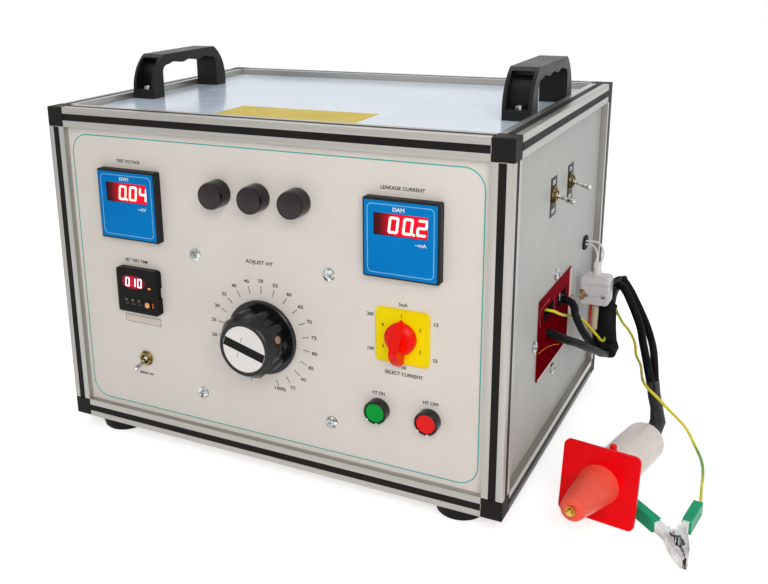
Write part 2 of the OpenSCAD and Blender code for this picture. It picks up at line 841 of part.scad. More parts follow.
// Outline of a leg's outer face, leaning in as it rises
function leg_curve(steps) = [for (i = [0:steps]) let (t = 60 * i / steps)
    [leg_lean * (1 - cos(t)) / (1 - cos(60)), leg_foot_h + (handle_h - leg_foot_h) * sin(t) / sin(60)]];

function mirrored(points) = [for (i = [len(points) - 1:-1:0]) [handle_len - points[i][0], points[i][1]]];

module handle_opening() {
    wave_top = handle_h - grip_t;
    corner_z = wave_top - finger_wave - grip_round;
    from = leg_d + grip_round;
    span = handle_len - 2 * from;
    left = concat([[leg_d, -over]], arc(from, corner_z, grip_round, 180, 90, 6));
    waves = [for (i = [1:35]) let (s = i / 36)
        [from + s * span, wave_top - finger_wave * (1 + cos(360 * 3 * s)) / 2]];
    polygon(concat(left, waves, mirrored(left)));
}

// The hollow in a leg, open to the outside, where its bolt is reached
module leg_hollow() {
    corner_z = handle_h - grip_t - finger_wave - grip_round;
    from = leg_d + grip_round;
    polygon(concat(
        [[-over, leg_floor], [leg_d - handle_wall, leg_floor]],
        arc(from, corner_z, grip_round + handle_wall, 180, 90, 6),
        [[from, handle_h - handle_wall], [-over, handle_h - handle_wall]]
    ));
}

module across(width) {
    rotate([90, 0, 90]) linear_extrude(width) children();
}

module handle() {
    outer = leg_curve(10);
    difference() {
        across(handle_w) polygon(concat([[0, 0]], outer, mirrored(outer), [[handle_len, 0]]));
        translate([-over, 0, 0]) across(handle_w + 2 * over) handle_opening();
        for (end = [0, 1])
            translate([handle_wall, end * handle_len, 0]) mirror([0, end, 0])
                across(handle_w - 2 * handle_wall) leg_hollow();
        for (y = handle_bolt_ys)
            translate([handle_w / 2, y, 0]) tube_between(bolt_d / 2 + fit, -over, leg_floor + over, 24);
    }
}

module handles() {
    color("black") top_face() for (x = handle_xs) translate([x, handle_y, 0]) handle();
}

// Meters and counter

module meter_housing() {
    film = 1;
    difference() {
        union() {
            chamfer_block(meter_side, meter_side, meter_out, 2, 1);
            block(meter_body, meter_body, -meter_depth, over);
            block(meter_body - 8, 18, -meter_depth - 10, -meter_depth + over);
            for (side = [-1, 1])
                translate([side * meter_body / 2, 0, -panel_t - 4.2]) rotate([90, 0, 0])
                    linear_extrude(16, center = true) polygon([[0, -6], [side * 1.4, 4], [0, 4]]);
        }
        translate([0, 0, meter_out - film]) linear_extrude(film + over)
            round_rect(meter_side - 2 * meter_rim, meter_side - 2 * meter_rim, 2);
        translate([0, window_up, meter_out - film - window_t]) block(window_w, window_h, 0, window_t + over);
    }
}

module meter_housings() {
    color("royalblue") front_face() for (x = meter_xs) translate([x, meter_z, 0]) meter_housing();
}

module key_hole(w, h) {
    block(w + 2 * slide_gap, h + 2 * slide_gap, counter_out - key_pocket, counter_out + over);
}

module counter_housing() {
    notch_h = 11;
    color("dimgray") front_face() translate([counter_in, counter_z, 0]) difference() {
        union() {
            chamfer_block(counter_w, counter_h, counter_out, 4, 1.2);
            block(counter_body, counter_body, -counter_depth, over);
            block(counter_body - 6, 16, -counter_depth - 8, -counter_depth + over);
        }
        for (side = [-1, 1])
            translate([side * counter_w / 2, 0, 0]) block(3, notch_h, -over, counter_out - 2);
        translate(counter_window)
            block(counter_window_w, counter_window_h, counter_out - window_t, counter_out + over);
        for (place = counter_keys)
            translate(place) key_hole(key_w, key_h);
        translate(reset_place) key_hole(reset_side, reset_side);
    }
}

module display_windows() {
    color("darkred") front_face() {
        for (x = meter_xs)
            translate([x, meter_z + window_up, meter_out - 1 - window_t])
                block(window_w - 2 * fit, window_h - 2 * fit, 0, window_t);
        translate([counter_in + counter_window[0], counter_z + counter_window[1], counter_out - window_t])
            block(counter_window_w - 2 * fit, counter_window_h - 2 * fit, 0, window_t);
    }
}

// A key that clears the floor of its pocket by slide_gap when it is pressed
module counter_key(place, w, h, proud) {
    front_face() translate([counter_in + place[0], counter_z + place[1], counter_out]) difference() {
        block(w, h, key_travel + slide_gap - key_pocket, proud);
        for (side = [-1, 1])
            translate([0, side * h / 2, proud]) rotate([45, 0, 0]) cube([w + over, 0.6, 0.6], center = true);
    }
}

module setting_key_1() {
    color("gray") counter_key(counter_keys[0], key_w, key_h, 1);
}

module setting_key_2() {
    color("gray") counter_key(counter_keys[1], key_w, key_h, 1);
}

module setting_key_3() {
    color("gray") counter_key(counter_keys[2], key_w, key_h, 1);
}

module reset_key() {
    color("orange") counter_key(reset_place, reset_side, reset_side, 1.4);
}

// Lamps

module lamp_holder() {
    rim = lamp_out - 2.5;
    back = lamp_barrel_len + lamp_body_len;
    difference() {
        union() {
            tube_between(lamp_d / 2, 0, 3);
            taper(lamp_d, lamp_d - 0.6, 3, rim);
            taper(lamp_d - 0.6, lamp_d - 1.8, rim, lamp_out);
            tube_between(lamp_barrel_d / 2, -lamp_barrel_len, over);
            block(15, 15, -back, over - lamp_barrel_len);
            for (side = [-1, 1])
                translate([side * 4, 0, 0]) block(1, 5, -back - tab_len, over - back);
        }
        tube_between(lens_d / 2, lamp_out - lens_seat, lamp_out + over, 48);
    }
}

module lamp_holders() {
    color("black") front_face() for (x = lamp_xs) translate([x, lamp_z, 0]) lamp_holder();
}

module lamp_lens() {
    r = lens_d / 2 - fit;
    dome_r = (r * r + lens_dome * lens_dome) / (2 * lens_dome);
    intersection() {
        tube_between(r, lamp_out - lens_seat, lamp_out + lens_dome, 48);
        translate([0, 0, lamp_out - 0.4 + lens_dome - dome_r]) sphere(dome_r, $fn = 96);
    }
}

module lamp_lenses() {
    color("maroon") front_face() for (x = lamp_xs) translate([x, lamp_z, 0]) lamp_lens();
}

module ring_nut(outer_d, inner_d, h) {
    back = -panel_t - h;
    difference() {
        tube_between(outer_d / 2, back, -panel_t);
        tube_between(inner_d / 2 + fit, back - over, over);
        for (k = [0:7])
            rotate([0, 0, k * 45]) translate([outer_d / 2, 0, 0]) block(2, 4, back - over, -panel_t - 1);
    }
}

module ring_nuts() {
    color("dimgray") front_face() {
        for (x = lamp_xs)
            translate([x, lamp_z, 0]) ring_nut(lamp_barrel_d + 7, lamp_barrel_d, 6);
        for (x = button_xs)
            translate([x, button_z, 0]) ring_nut(barrel_d + 6, barrel_d, 5);
    }
}

// Dial and variable transformer

module at_dial() {
    front_face() translate([dial_x, dial_z, 0]) children();
}

module transformer_base() {
    bearing_r = shaft_d / 2 + shaft_gap;
    color("lightslategray") at_dial() difference() {
        union() {
            translate([0, 0, -coil_front]) linear_extrude(base_t) difference() {
                round_rect(base_side, base_side, 12);
                at_base_screws() circle(d = screw_d + 2 * fit, $fn = 24);
            }
            tube_between(hub_d / 2, -coil_rear, -coil_front + over, 48);
        }
        tube_between(bearing_r, -coil_rear - over, over, 48);
        tube_between(bearing_r + 2, 12 - coil_rear, -coil_front - 6, 48);
    }
}

module transformer_coil() {
    edge = 6;
    inner = coil_bore / 2;
    outer = coil_d / 2;
    color("peru") at_dial() rotate_extrude($fn = 96) polygon(concat(
        arc(inner + edge, edge - coil_rear, edge, 180, 270, 4),
        [[brush_r - 7, -coil_rear], [brush_r - 7, -track_z]],
        [[brush_r + 7, -track_z], [brush_r + 7, -coil_rear]],
        arc(outer - edge, edge - coil_rear, edge, 270, 360, 4),
        arc(outer - edge, -coil_front - edge, edge, 0, 90, 4),
        arc(inner + edge, -coil_front - edge, edge, 90, 180, 4)
    ));
}

module dial_shaft() {
    color("silver") at_dial() tube_between(shaft_d / 2, -coil_rear - arm_t - 6, knob_out - 8, 48);
}

module brush_arm() {
    arm_front = coil_rear + 4;
    color("dimgray") at_dial() rotate([0, 0, pointer_angle]) difference() {
        union() {
            tube_between(hub_d / 2 + 2, -arm_front - arm_t, -arm_front);
            translate([brush_r / 2, 0, 0]) block(brush_r, 14, -arm_front - arm_t + 2, -arm_front);
            translate([brush_r, 0, 0]) {
                tube_between(8, -arm_front - arm_t, -arm_front);
                tube_between(4.5, -arm_front - over, -track_z - brush_gap);
            }
        }
        tube_between(shaft_d / 2 + fit, -arm_front - arm_t - over, -arm_front + over, 48);
    }
}

module knob_outline() {
    lobes = 10;
    lobe_r = 7;
    circle(d = knob_d - 2 * lobe_depth, $fn = 96);
    for (k = [0:lobes - 1])
        rotate([0, 0, 360 * k / lobes]) translate([knob_d / 2 - lobe_r, 0]) circle(lobe_r, $fn = 32);
}

module dial_knob() {
    body_from = skirt_gap + skirt_t;
    slope_from = knob_out - 8;
    ring_r = disc_d / 2 + 3.5;
    color("black") at_dial() difference() {
        union() {
            translate([0, 0, skirt_gap]) cylinder(d = skirt_d, h = skirt_t - 1, $fn = 96);
            taper(skirt_d, skirt_d - 3, body_from - 1, body_from, 96);
            rotate([0, 0, pointer_angle]) translate([0, 0, skirt_gap]) linear_extrude(2)
                polygon([[skirt_d / 2 - 3, -4], [pointer_r, 0], [skirt_d / 2 - 3, 4]]);
            intersection() {
                translate([0, 0, body_from - over]) linear_extrude(knob_out) knob_outline();
                rotate_extrude($fn = 96) polygon([
                    [0, 0], [knob_d / 2 + over, 0], [knob_d / 2 + over, slope_from - 4],
                    [knob_d / 2 - 1, slope_from], [ring_r + 1, knob_out - 1],
                    [ring_r, knob_out], [0, knob_out]
                ]);
            }
        }
        tube_between(disc_d / 2 + fit, knob_out - disc_t, knob_out + over, 96);
        tube_between(shaft_d / 2 + fit, -over, knob_out - 8, 48);
        // Hollow underside and the grub screw's hole
        tube_between(skirt_d / 2 - 8, -over, skirt_gap + 3, 96);
        translate([0, 0, slope_from - 9]) rotate([0, 90, 0]) cylinder(d = 4.5, h = knob_d, $fn = 24);
    }
}

module dial_disc() {
    color("white") at_dial() tube_between(disc_d / 2, knob_out - disc_t, knob_out - 0.2, 96);
}

// Screws of the transformer's base and of the terminal unit, with a cross recess in the head

module panel_screw() {
    head_h = 3.5;
    dome_r = 12;
    difference() {
        intersection() {
            tube_between(screw_head_d / 2, 0, head_h);
            translate([0, 0, head_h - dome_r]) sphere(dome_r, $fn = 64);
        }
        block(6, 1.2, 1.8, head_h + over);
        block(1.2, 6, 1.8, head_h + over);
    }
    tube_between(screw_d / 2, -panel_t - min(base_t, unit_flange_t), 0.5, 24);
}

module panel_screws() {
    color("gainsboro") {
        at_dial() at_base_screws() panel_screw();
        right_face() at_unit_screws() panel_screw();
    }
}

// Current selector

module at_selector() {
    front_face() translate([selector_x, selector_z, 0]) children();
}

module selector_plate() {
    color("gold") at_selector() difference() {
        chamfer_block(selector_side, selector_side, selector_t, 5, 1.4);
        tube_between(selector_bush_d / 2 + fit, -over, selector_t + over);
    }
}

module selector_body() {
    wafer = 9;
    back = panel_t + selector_depth;
    color("darkslategray") at_selector() difference() {
        union() {
            block(selector_body_side, selector_body_side, -panel_t - 5, -panel_t);
            for (z = [panel_t + 5:wafer:back - wafer])
                block(selector_body_side - 4, selector_body_side - 4, -z - wafer + 1, -z + over);
            block(selector_body_side - 12, selector_body_side - 12, -back, -panel_t);
            tube_between(selector_bush_d / 2, -panel_t - over, selector_t - 0.4);
        }
        tube_between(spindle_d / 2 + shaft_gap, -panel_t - 22, selector_t + over, 48);
    }
}

// Side view of the handle's wing: x towards the pointing tip, y away from the plate
module wing_side() {
    nose = 15.5;
    polygon([
        [nose, 3], [nose, 5.5], [8, 8], [2, selector_out - 6], [-6, selector_out - 1], [-9, selector_out],
        [-13, selector_out - 1.4], [-18, selector_out - 5], [3 - wing_tail, selector_out - 9],
        [-wing_tail, selector_out - 13], [1.2 - wing_tail, 5], [4 - wing_tail, 3.4], [-12, 3]
    ]);
}

module selector_handle() {
    plate_gap = 0.4;
    color("red") at_selector() translate([0, 0, selector_t + plate_gap]) {
        cylinder(d = selector_base_d, h = 4.5, $fn = 64);
        taper(selector_base_d, selector_base_d - 7, 4.5, 7.5, 64);
        linear_extrude(5) polygon([[-7, 11], [0, 17.5], [7, 11]]);
        intersection() {
            rotate([90, 0, 90]) linear_extrude(wing_t, center = true) wing_side();
            translate([0, -4.5, 0]) linear_extrude(selector_out + over) {
                circle(wing_t / 2, $fn = 32);
                translate([0, 15.5]) circle(wing_t / 2, $fn = 32);
                translate([0, -15.5]) circle(wing_t / 2 + 0.5, $fn = 32);
                translate([-wing_t / 2, -15.5]) square([wing_t, 31]);
            }
        }
        tube_between(spindle_d / 2, -panel_t - selector_t - 18, over, 48);
    }
}

// Toggle switches

module toggle_body() {
    difference() {
        union() {
            block(13, 26, -panel_t - 18, -panel_t);
            tube_between(bush_d / 2, -panel_t - over, bush_out);
            for (k = [-1:1])
                translate([0, k * 8, 0]) block(1, 5, -panel_t - 26, -panel_t - 18 + over);
        }
        tube_between(3.9, bush_floor, pivot_out + over);
        taper(7.8, bush_mouth_d, pivot_out, bush_out + 0.01, 32);
        tube_between(bush_mouth_d / 2, bush_out, bush_out + over);
    }
}

module at_power_switch() {
    front_face() translate([counter_in, power_z, 0]) children();
}

module at_side_switch(index) {
    right_face() translate([side_switch_ys[index], side_switch_z, 0]) children();
}

module toggle_bodies() {
    color("dimgray") {
        at_power_switch() toggle_body();
        for (index = [0, 1])
            at_side_switch(index) toggle_body();
    }
}

module toggle_nut() {
    plate_under = 0.8;
    difference() {
        union() {
            translate([0, 0, plate_under]) cylinder(d = 16, h = 0.8, $fn = 48);
            translate([0, 0, plate_under + 0.8]) cylinder(d = 15.5, h = 2.2, $fn = 6);
        }
        tube_between(bush_d / 2 + fit, -over, bush_out);
    }
}

module toggle_nuts() {
    color("silver") {
        at_power_switch() toggle_nut();
        for (index = [0, 1])
            at_side_switch(index) toggle_nut();
    }
}

// The lever turns about its ball; it points outwards and down at rest
module toggle_lever() {
    bat_from = 8;
    tip_from = lever_len - lever_tip_d / 2;
    translate([0, 0, pivot_out]) rotate([lever_tilt, 0, 0]) {
        sphere(3.5, $fn = 32);
        cylinder(d = lever_root_d, h = bat_from, $fn = 32);
        taper(lever_root_d, lever_tip_d, bat_from, tip_from, 32);
        translate([0, 0, tip_from]) sphere(d = lever_tip_d, $fn = 32);
    }
}

module power_lever() {
    color("silver") at_power_switch() toggle_lever();
}

module side_lever_1() {
    color("silver") at_side_switch(0) toggle_lever();
}

module side_lever_2() {
    color("silver") at_side_switch(1) toggle_lever();
}

// Push buttons

module button_housing() {
    back = barrel_len + button_body_len;
    difference() {
        union() {
            tube_between(button_d / 2, 0, button_out - 1, 48);
            taper(button_d, button_d - 1.6, button_out - 1, button_out);
            tube_between(barrel_d / 2, -barrel_len, over, 48);
            block(15, 15, -back, over - barrel_len);
            for (side = [-1, 1])
                translate([side * 4, 0, 0]) block(1, 5, -back - tab_len, over - back);
        }
        tube_between(cap_d / 2 + slide_gap, cup_floor, button_out + over, 48);
        tube_between(stem_r + slide_gap, 6 - barrel_len, cup_floor + over, 32);
        for (angle = [232, 268])
            rotate([0, 0, angle]) translate([button_d / 2, 0, button_out]) cube([3, 2, 2], center = true);
    }
}

module button_housings() {
    color("black") front_face() for (x = button_xs) translate([x, button_z, 0]) button_housing();
}

module button_cap(index) {
    top = button_out - 0.2;
    front_face() translate([button_xs[index], button_z, 0]) {
        tube_between(cap_d / 2, top - cap_t, top - 0.6, 48);
        taper(cap_d, cap_d - 1.6, top - 0.6, top);
        tube_between(stem_r, 10 - barrel_len, top - cap_t + 0.01, 32);
    }
}

module start_button() {
    color("green") button_cap(0);
}

module stop_button() {
    color("red") button_cap(1);
}

// Right side: terminal plate, the unit behind it and the grommet

module plate_cuts(grow) {
    for (place = plate_windows)
        translate([plate_y, plate_z] + place)
            square([plate_window_w + grow, plate_window_h + grow], center = true);
    translate([plate_y, plate_z] + hv_outlet) circle(d = hv_outlet_d + grow, $fn = 32);
}

module terminal_plate() {
    color("darkred") right_face() linear_extrude(plate_t) difference() {
        translate([plate_y, plate_z]) round_rect(plate_w, plate_h, 1);
        plate_cuts(0);
    }
}

// The unit fills the panel's cut-out and has a bay behind each window of the plate
module terminal_unit() {
    gland_d = 13;
    color("black") right_face() difference() {
        union() {
            translate([plate_y, plate_z, -panel_t - unit_flange_t]) linear_extrude(unit_flange_t) {
                square([unit_pitch_y + 16, 24], center = true);
                square([24, unit_pitch_z + 16], center = true);
                square([unit_w + 12, unit_h + 20], center = true);
            }
            translate([plate_y, plate_z + unit_up, 0]) {
                block(unit_w, unit_h, -panel_t - over, 0);
                block(unit_w - 10, unit_h - 6, -unit_depth, -panel_t);
            }
        }
        translate([0, 0, -bay_floor]) linear_extrude(bay_floor + over) intersection() {
            plate_cuts(-1);
            translate([plate_y, plate_z + unit_up]) square([unit_w - 8, unit_h - 6], center = true);
        }
        translate([0, 0, -panel_t - unit_flange_t - over]) linear_extrude(unit_flange_t + over)
            at_unit_screws() circle(d = screw_d + 2 * fit, $fn = 24);
    }
    color("black") right_face() translate([plate_y, plate_z] + control_outlet) difference() {
        union() {
            tube_between(gland_d / 2 - 1.5, -bay_floor, -4);
            translate([0, 0, -4]) cylinder(d = gland_d, h = 6, $fn = 6);
        }
        tube_between(control_cable_d / 2 + fit, -6, 3);
    }
}

module cable_grommet() {
    lip = 2;
    mouth = 2 * wire_spread + signal_wire_d - 0.1;
    color("black") right_face() translate([grommet_y, grommet_z, 0]) difference() {
        union() {
            linear_extrude(lip) round_rect(grommet_w, grommet_h, 7);
            translate([0, 0, -panel_t - lip]) {
                linear_extrude(lip) round_rect(grommet_w, grommet_h, 7);
                linear_extrude(panel_t + 2 * lip) round_rect(grommet_w - 4, grommet_h - 4, 5);
            }
        }
        translate([0, 0, -panel_t - lip - over]) linear_extrude(panel_t + 2 * lip + 2 * over)
            round_rect(grommet_w - 10, mouth, mouth / 2 - 0.1);
    }
}

// Inside and back of the case

module hv_transformer() {
    foot_t = 4;
    coil_z = foot_t + 20;
    leg_w = 19;
    translate([case_w * 0.68, case_d * 0.6, panel_back]) {
        color("dimgray") difference() {
            block(core_w, core_d, foot_t, foot_t + core_h);
            for (side = [-1, 1])
                translate([side * core_w / 4, 0, 0]) block(20, core_d + over, coil_z, coil_z + winding_h);
        }
        color("dimgray") block(core_w, core_d + 34, 0, foot_t);
        color("khaki") translate([0, 0, coil_z]) difference() {
            linear_extrude(winding_h) round_rect(winding_w, winding_d, 10);
            block(winding_w - 2 * leg_w, core_d, -over, winding_h + over);
        }
        color("white") for (side = [-1, 1])
            translate([side * 20, winding_d / 2 - 12, coil_z + winding_h]) {
                cylinder(d = 14, h = 6, $fn = 32);
                taper(12, 8, 6, 22, 32);
            }
    }
}

module control_board() {
    stand = 8;
    top = stand + 1.6;
    translate([case_w * 0.28, case_d * 0.6, panel_back]) {
        for (sx = [-1, 1], sy = [-1, 1])
            translate([sx * (board_w / 2 - 6), sy * (board_d / 2 - 6), 0]) tube_between(3.5, 0, stand, 24);
        color("darkgreen") block(board_w, board_d, stand, top);
        color("royalblue") for (k = [-1:2])
            translate([k * 28 - 14, board_d / 2 - 29, 0]) block(19, 15, top, top + 15);
        color("green") translate([0, 11 - board_d / 2, 0]) block(board_w - 30, 11, top, top + 11);
        color("dimgray") for (k = [-1, 1])
            translate([k * 34, -12, 0]) block(26, 22, top, top + 22);
    }
}

module mains_inlet() {
    color("black") back_face() translate([inlet_x, inlet_z, 0]) difference() {
        union() {
            chamfer_block(inlet_w + 6, inlet_h + 6, 3, 2, 1);
            block(inlet_w, inlet_h, -inlet_depth, over);
            for (k = [-1:1])
                translate([k * 8, inlet_cavity_z, 0])
                    block(5, 0.8, -inlet_depth - tab_len, over - inlet_depth);
        }
        translate([0, inlet_cavity_z, 3 - inlet_cavity_depth]) difference() {
            block(inlet_cavity[0], inlet_cavity[1], 0, inlet_cavity_depth + over);
            for (place = [[-7, 4], [0, 0.5], [7, 4]])
                translate(place) block(2, 4, -over, inlet_cavity_depth - 4);
        }
        translate([0, -13, 0]) block(22, 9, 2.2, 3 + over);
    }
}

// Probe gun: y runs backwards from the guard's face

module gun_turned() {
    rotate([-90, 0, 0]) children();
}

module gun_guard() {
    end_r = 5;
    end_x = cone_end_d / 2 - end_r;
    color("orangered") at_gun() difference() {
        union() {
            gun_turned() linear_extrude(guard_t) round_rect(guard_side, guard_side, 6);
            gun_turned() tube_between(tube_d / 2 - tube_wall - fit, guard_t, guard_t + guard_plug_len, 64);
            gun_turned() rotate_extrude($fn = 64) polygon(concat(
                [[0, 1], [cone_d / 2 + 1.5, 1], [cone_d / 2 + 1.5, -0.8], [cone_d / 2, -2]],
                arc(end_x, end_r - cone_len, end_r, -10, -90, 6),
                [[0, -cone_len]]
            ));
        }
        gun_turned() tube_between(tip_d / 2 + fit, -cone_len - over, guard_t + guard_plug_len + over, 32);
    }
}

module gun_tip() {
    color("goldenrod") at_gun() gun_turned() {
        tube_between(tip_d / 2, 1.2 - cone_len - tip_out, guard_t + tip_root_len, 32);
        taper(tip_d - 2, tip_d, -cone_len - tip_out, 1.2 - cone_len - tip_out, 32);
        tube_between(tip_d / 2 + 2, -cone_len - 2.4, -cone_len, 32);
    }
}

module gun_body() {
    r = tube_d / 2;
    end = gun_end;
    inner = r - tube_wall;
    color("ivory") at_gun() difference() {
        gun_turned() rotate_extrude($fn = 64) polygon(concat(
            [[inner, guard_t], [r, guard_t]],
            arc(r - tube_round, end - tube_round, tube_round, 0, 90, 6),
            [[0, end], [0, end - 4], [inner, end - 4]]
        ));
        translate([0, trigger_y, 0])
            tube_between(trigger_d / 2 + 1.3 + fit, inner - over, r + over);
    }
}

module gun_switch() {
    r = tube_d / 2;
    bore_r = trigger_d / 2 + slide_gap;
    collar_h = 3;
    color("silver") at_gun() translate([0, trigger_y, 0]) difference() {
        union() {
            tube_between(trigger_d / 2 + 2, r, r + collar_h - 0.8);
            taper(trigger_d + 4, trigger_d + 2.4, r + collar_h - 0.8, r + collar_h, 32);
            tube_between(trigger_d / 2 + 1.3, r - 10, r + over);
            block(trigger_d + 4, 16, r - 18, r - 9);
        }
        tube_between(bore_r, r - 9, r + collar_h + over);
    }
}

module trigger_button() {
    r = tube_d / 2;
    top = r + trigger_out;
    color("red") at_gun() translate([0, trigger_y, 0]) {
        tube_between(trigger_d / 2, r - 9 + trigger_travel + slide_gap, top - 1);
        taper(trigger_d, trigger_d - 2, top - 1, top, 32);
    }
}

// Earth clip: it lies on its side, the jaws point along -Y and the rivet stands upright

// Right half of the clip as seen from above, between its closing line and its outer edge
module clip_half_outline() {
    polygon([
        [jaw_gap / 2, -jaw_len], [3, -jaw_len], [6.5, -jaw_len + 12], [clip_half, -8], [clip_half, 3],
        [clip_half + 2, 8], [clip_half - 6, 11], [3, 4], [3, -8], [4, -12], [4, -18],
        [jaw_gap / 2, -22], [1.4, -24], [jaw_gap / 2, -26], [1.4, -28], [jaw_gap / 2, -30],
        [1.4, -32], [jaw_gap / 2, -34]
    ]);
    circle(5, $fn = 32);
}

// Thickness of the sheet along the outline's outer edge
module clip_rim() {
    polygon([
        [1.5, -jaw_len], [3, -jaw_len], [6.5, -jaw_len + 12], [clip_half, -8], [clip_half, 3],
        [clip_half + 2, 8], [clip_half + 1, 8.4], [clip_half - clip_t, 3.2], [clip_half - clip_t, -7.8],
        [6.5 - clip_t, -jaw_len + 12.4], [2.4, -jaw_len + 1]
    ]);
}

// The arm from the body to the sleeve's mouth, a channel open to the inside
module arm(low, high) {
    rotate([0, 0, -arm_spread]) {
        for (z = [low, high - clip_t])
            translate([0, 4, z]) cube([clip_half - 3, arm_len + 3 - 4, clip_t]);
        translate([clip_half - 3 - clip_t, 4, low]) cube([clip_t, arm_len + 3 - 4, high - low]);
    }
}

module clip_shell(low, high) {
    for (z = [low, high - clip_t])
        translate([0, 0, z]) linear_extrude(clip_t) clip_half_outline();
    translate([0, 0, low]) linear_extrude(high - low) clip_rim();
    arm(low, high);
}

module clip_sleeve(low, high) {
    mouth = 3 + fit;
    seat_x = sleeve_w - 1.2;
    seat_t = clip_t + 2 * fit;
    rotate([0, 0, -arm_spread]) translate([clip_half - 3 - seat_x, arm_len, 0]) difference() {
        cube([sleeve_w, sleeve_len, clip_w]);
        for (z = [low, high - clip_t])
            translate([-over, -over, z - fit]) cube([seat_x + over + fit, mouth + over, seat_t]);
        translate([seat_x - clip_t - fit, -over, low - fit])
            cube([seat_t, mouth + over, high - low + 2 * fit]);
    }
}

module clip_fixed_jaw() {
    color("silver") at_clip() {
        difference() {
            clip_shell(0, clip_w);
            translate([0, 0, -over]) cylinder(r = rivet_d / 2, h = clip_w + 2 * over, $fn = 32);
        }
        cylinder(r = rivet_d / 2, h = clip_w, $fn = 32);
        translate([0, 0, clip_w]) cylinder(r = rivet_d / 2 + 1.2, h = 0.8, $fn = 32);
    }
    color("seagreen") at_clip() clip_sleeve(0, clip_w);
}

module clip_moving_jaw() {
    low = clip_t + cheek_gap;
    high = clip_w - clip_t - cheek_gap;
    color("silver") at_clip() mirror([1, 0, 0]) difference() {
        clip_shell(low, high);
        translate([0, 0, -over]) cylinder(r = rivet_d / 2 + shaft_gap, h = clip_w + 2 * over, $fn = 32);
    }
    color("seagreen") at_clip() mirror([1, 0, 0]) clip_sleeve(low, high);
}

module clip_spring() {
    wire_r = 0.6;
    ring_r = rivet_d / 2 + wire_r - 0.05;
    turns = floor((clip_w - 2 * clip_t - 2 * cheek_gap - 2 * clip_t - 1) / (2 * wire_r));
    from = clip_w / 2 - (turns - 1) * wire_r;
    color("dimgray") at_clip() for (i = [0:turns - 1])
        translate([0, 0, from + 2 * wire_r * i]) rotate_extrude($fn = 32)
            translate([ring_r, 0]) circle(wire_r, $fn = 16);
}

// Cables and the terminal block that hangs on the white wires

module terminal_block() {
    w = block_size[0];
    d = block_size[1];
    h = block_size[2];
    color("honeydew") translate(block_centre) difference() {
        intersection() {
            translate([0, 0, -h / 2]) linear_extrude(h) round_rect(w, d, 4);
            rotate([90, 0, 0]) linear_extrude(d + over, center = true) round_rect(w, h, 5);
        }
        for (z = [-6, 7])
            translate([0, -d / 2, z]) cube([w + over, 2.4, 1.6], center = true);
        for (x = [-9, 9])
            translate([x, 0, -6]) rotate([90, 0, 0]) cylinder(d = 5, h = d / 2 + over, $fn = 24);
    }
}

module hv_cable() {
    end = gun_point([0, gun_end, hv_cable_d / 2 + 0.4]);
    middle = between(hv_middle, hv_ends[0], hv_ends[1], hv_start, end);
    color("black") cable(concat(
        [hv_start, hv_start + [bay_floor + plate_t + 1, 0, 0]], middle,
        [gun_point([0, gun_end + lead, hv_cable_d / 2 + 0.4]), end]
    ), hv_cable_d, 10);
}

module control_cable() {
    end = gun_point([0, gun_end, -control_cable_d / 2 - 0.5]);
    middle = between(control_middle, control_ends[0], control_ends[1], control_start, end);
    color("black") cable(concat(
        [control_start, control_start + [lead, 0, 0]], middle,
        [gun_point([0, gun_end + lead, -control_cable_d / 2 - 0.5]), end]
    ), control_cable_d, 10);
}

module earth_wire() {
    across = clip_half - 1.8 - sleeve_w / 2;
    end = clip_point(arm_len + sleeve_len, across, clip_w / 2);
    middle = between(earth_middle, earth_ends[0], earth_ends[1], earth_start, end);
    color("yellow") cable(concat(
        [earth_start, earth_start + [bay_floor + plate_t + 1, 0, 0]], middle,
        [clip_point(arm_len + sleeve_len + lead, across, clip_w / 2), end]
    ), earth_wire_d, 8);
}

module signal_wires() {
    top = block_centre + [0, 0, block_size[2] / 2];
    bottom = block_centre - [0, 0, block_size[2] / 2];
    color("white") {
        cable(concat(
            [white_start + [0, 0, wire_spread], white_start + [14, 0, wire_spread]],
            between(white_middle_1, white_ends[0], white_ends[1], white_start, top),
            [top + [2, 2, 4], top + [2, 2, 0]]
        ), signal_wire_d, 8);
        cable(concat(
            [white_start - [0, 0, wire_spread], white_start + [13, 0, -wire_spread]],
            between(white_middle_2, white_ends[0], white_ends[1], white_start, top),
            [top + [-2, 2, 4], top + [-2, 2, 0]]
        ), signal_wire_d, 8);
        cable(concat([bottom, bottom - [0, 0, 4]], beige_middle), signal_wire_d, 8);
    }
}

in_place() frame_posts();
in_place() frame_rails();
in_place() cover_strips();
in_place() corner_blocks();
in_place() front_panel();
in_place() back_panel();
in_place() left_panel();
in_place() right_panel();
in_place() top_panel();
in_place() bottom_panel();
in_place() handles();
in_place() feet();
in_place() case_bolts();
in_place() meter_housings();
in_place() counter_housing();
in_place() display_windows();
in_place() setting_key_1();
in_place() setting_key_2();
in_place() setting_key_3();
in_place() reset_key();
in_place() lamp_holders();
in_place() lamp_lenses();
in_place() ring_nuts();
in_place() transformer_base();
in_place() transformer_coil();
in_place() dial_shaft();
in_place() brush_arm();
in_place() dial_knob();
in_place() dial_disc();
in_place() panel_screws();
in_place() selector_plate();
in_place() selector_body();
in_place() selector_handle();
in_place() toggle_bodies();
in_place() toggle_nuts();
in_place() power_lever();
in_place() side_lever_1();
in_place() side_lever_2();
in_place() button_housings();
in_place() start_button();
in_place() stop_button();
in_place() terminal_plate();
in_place() terminal_unit();
in_place() cable_grommet();
in_place() hv_transformer();
in_place() control_board();
in_place() mains_inlet();
in_place() gun_body();
in_place() gun_guard();
in_place() gun_tip();
in_place() gun_switch();
in_place() trigger_button();
in_place() clip_fixed_jaw();
in_place() clip_moving_jaw();
in_place() clip_spring();
in_place() terminal_block();
in_place() hv_cable();
in_place() control_cable();
in_place() earth_wire();
in_place() signal_wires();
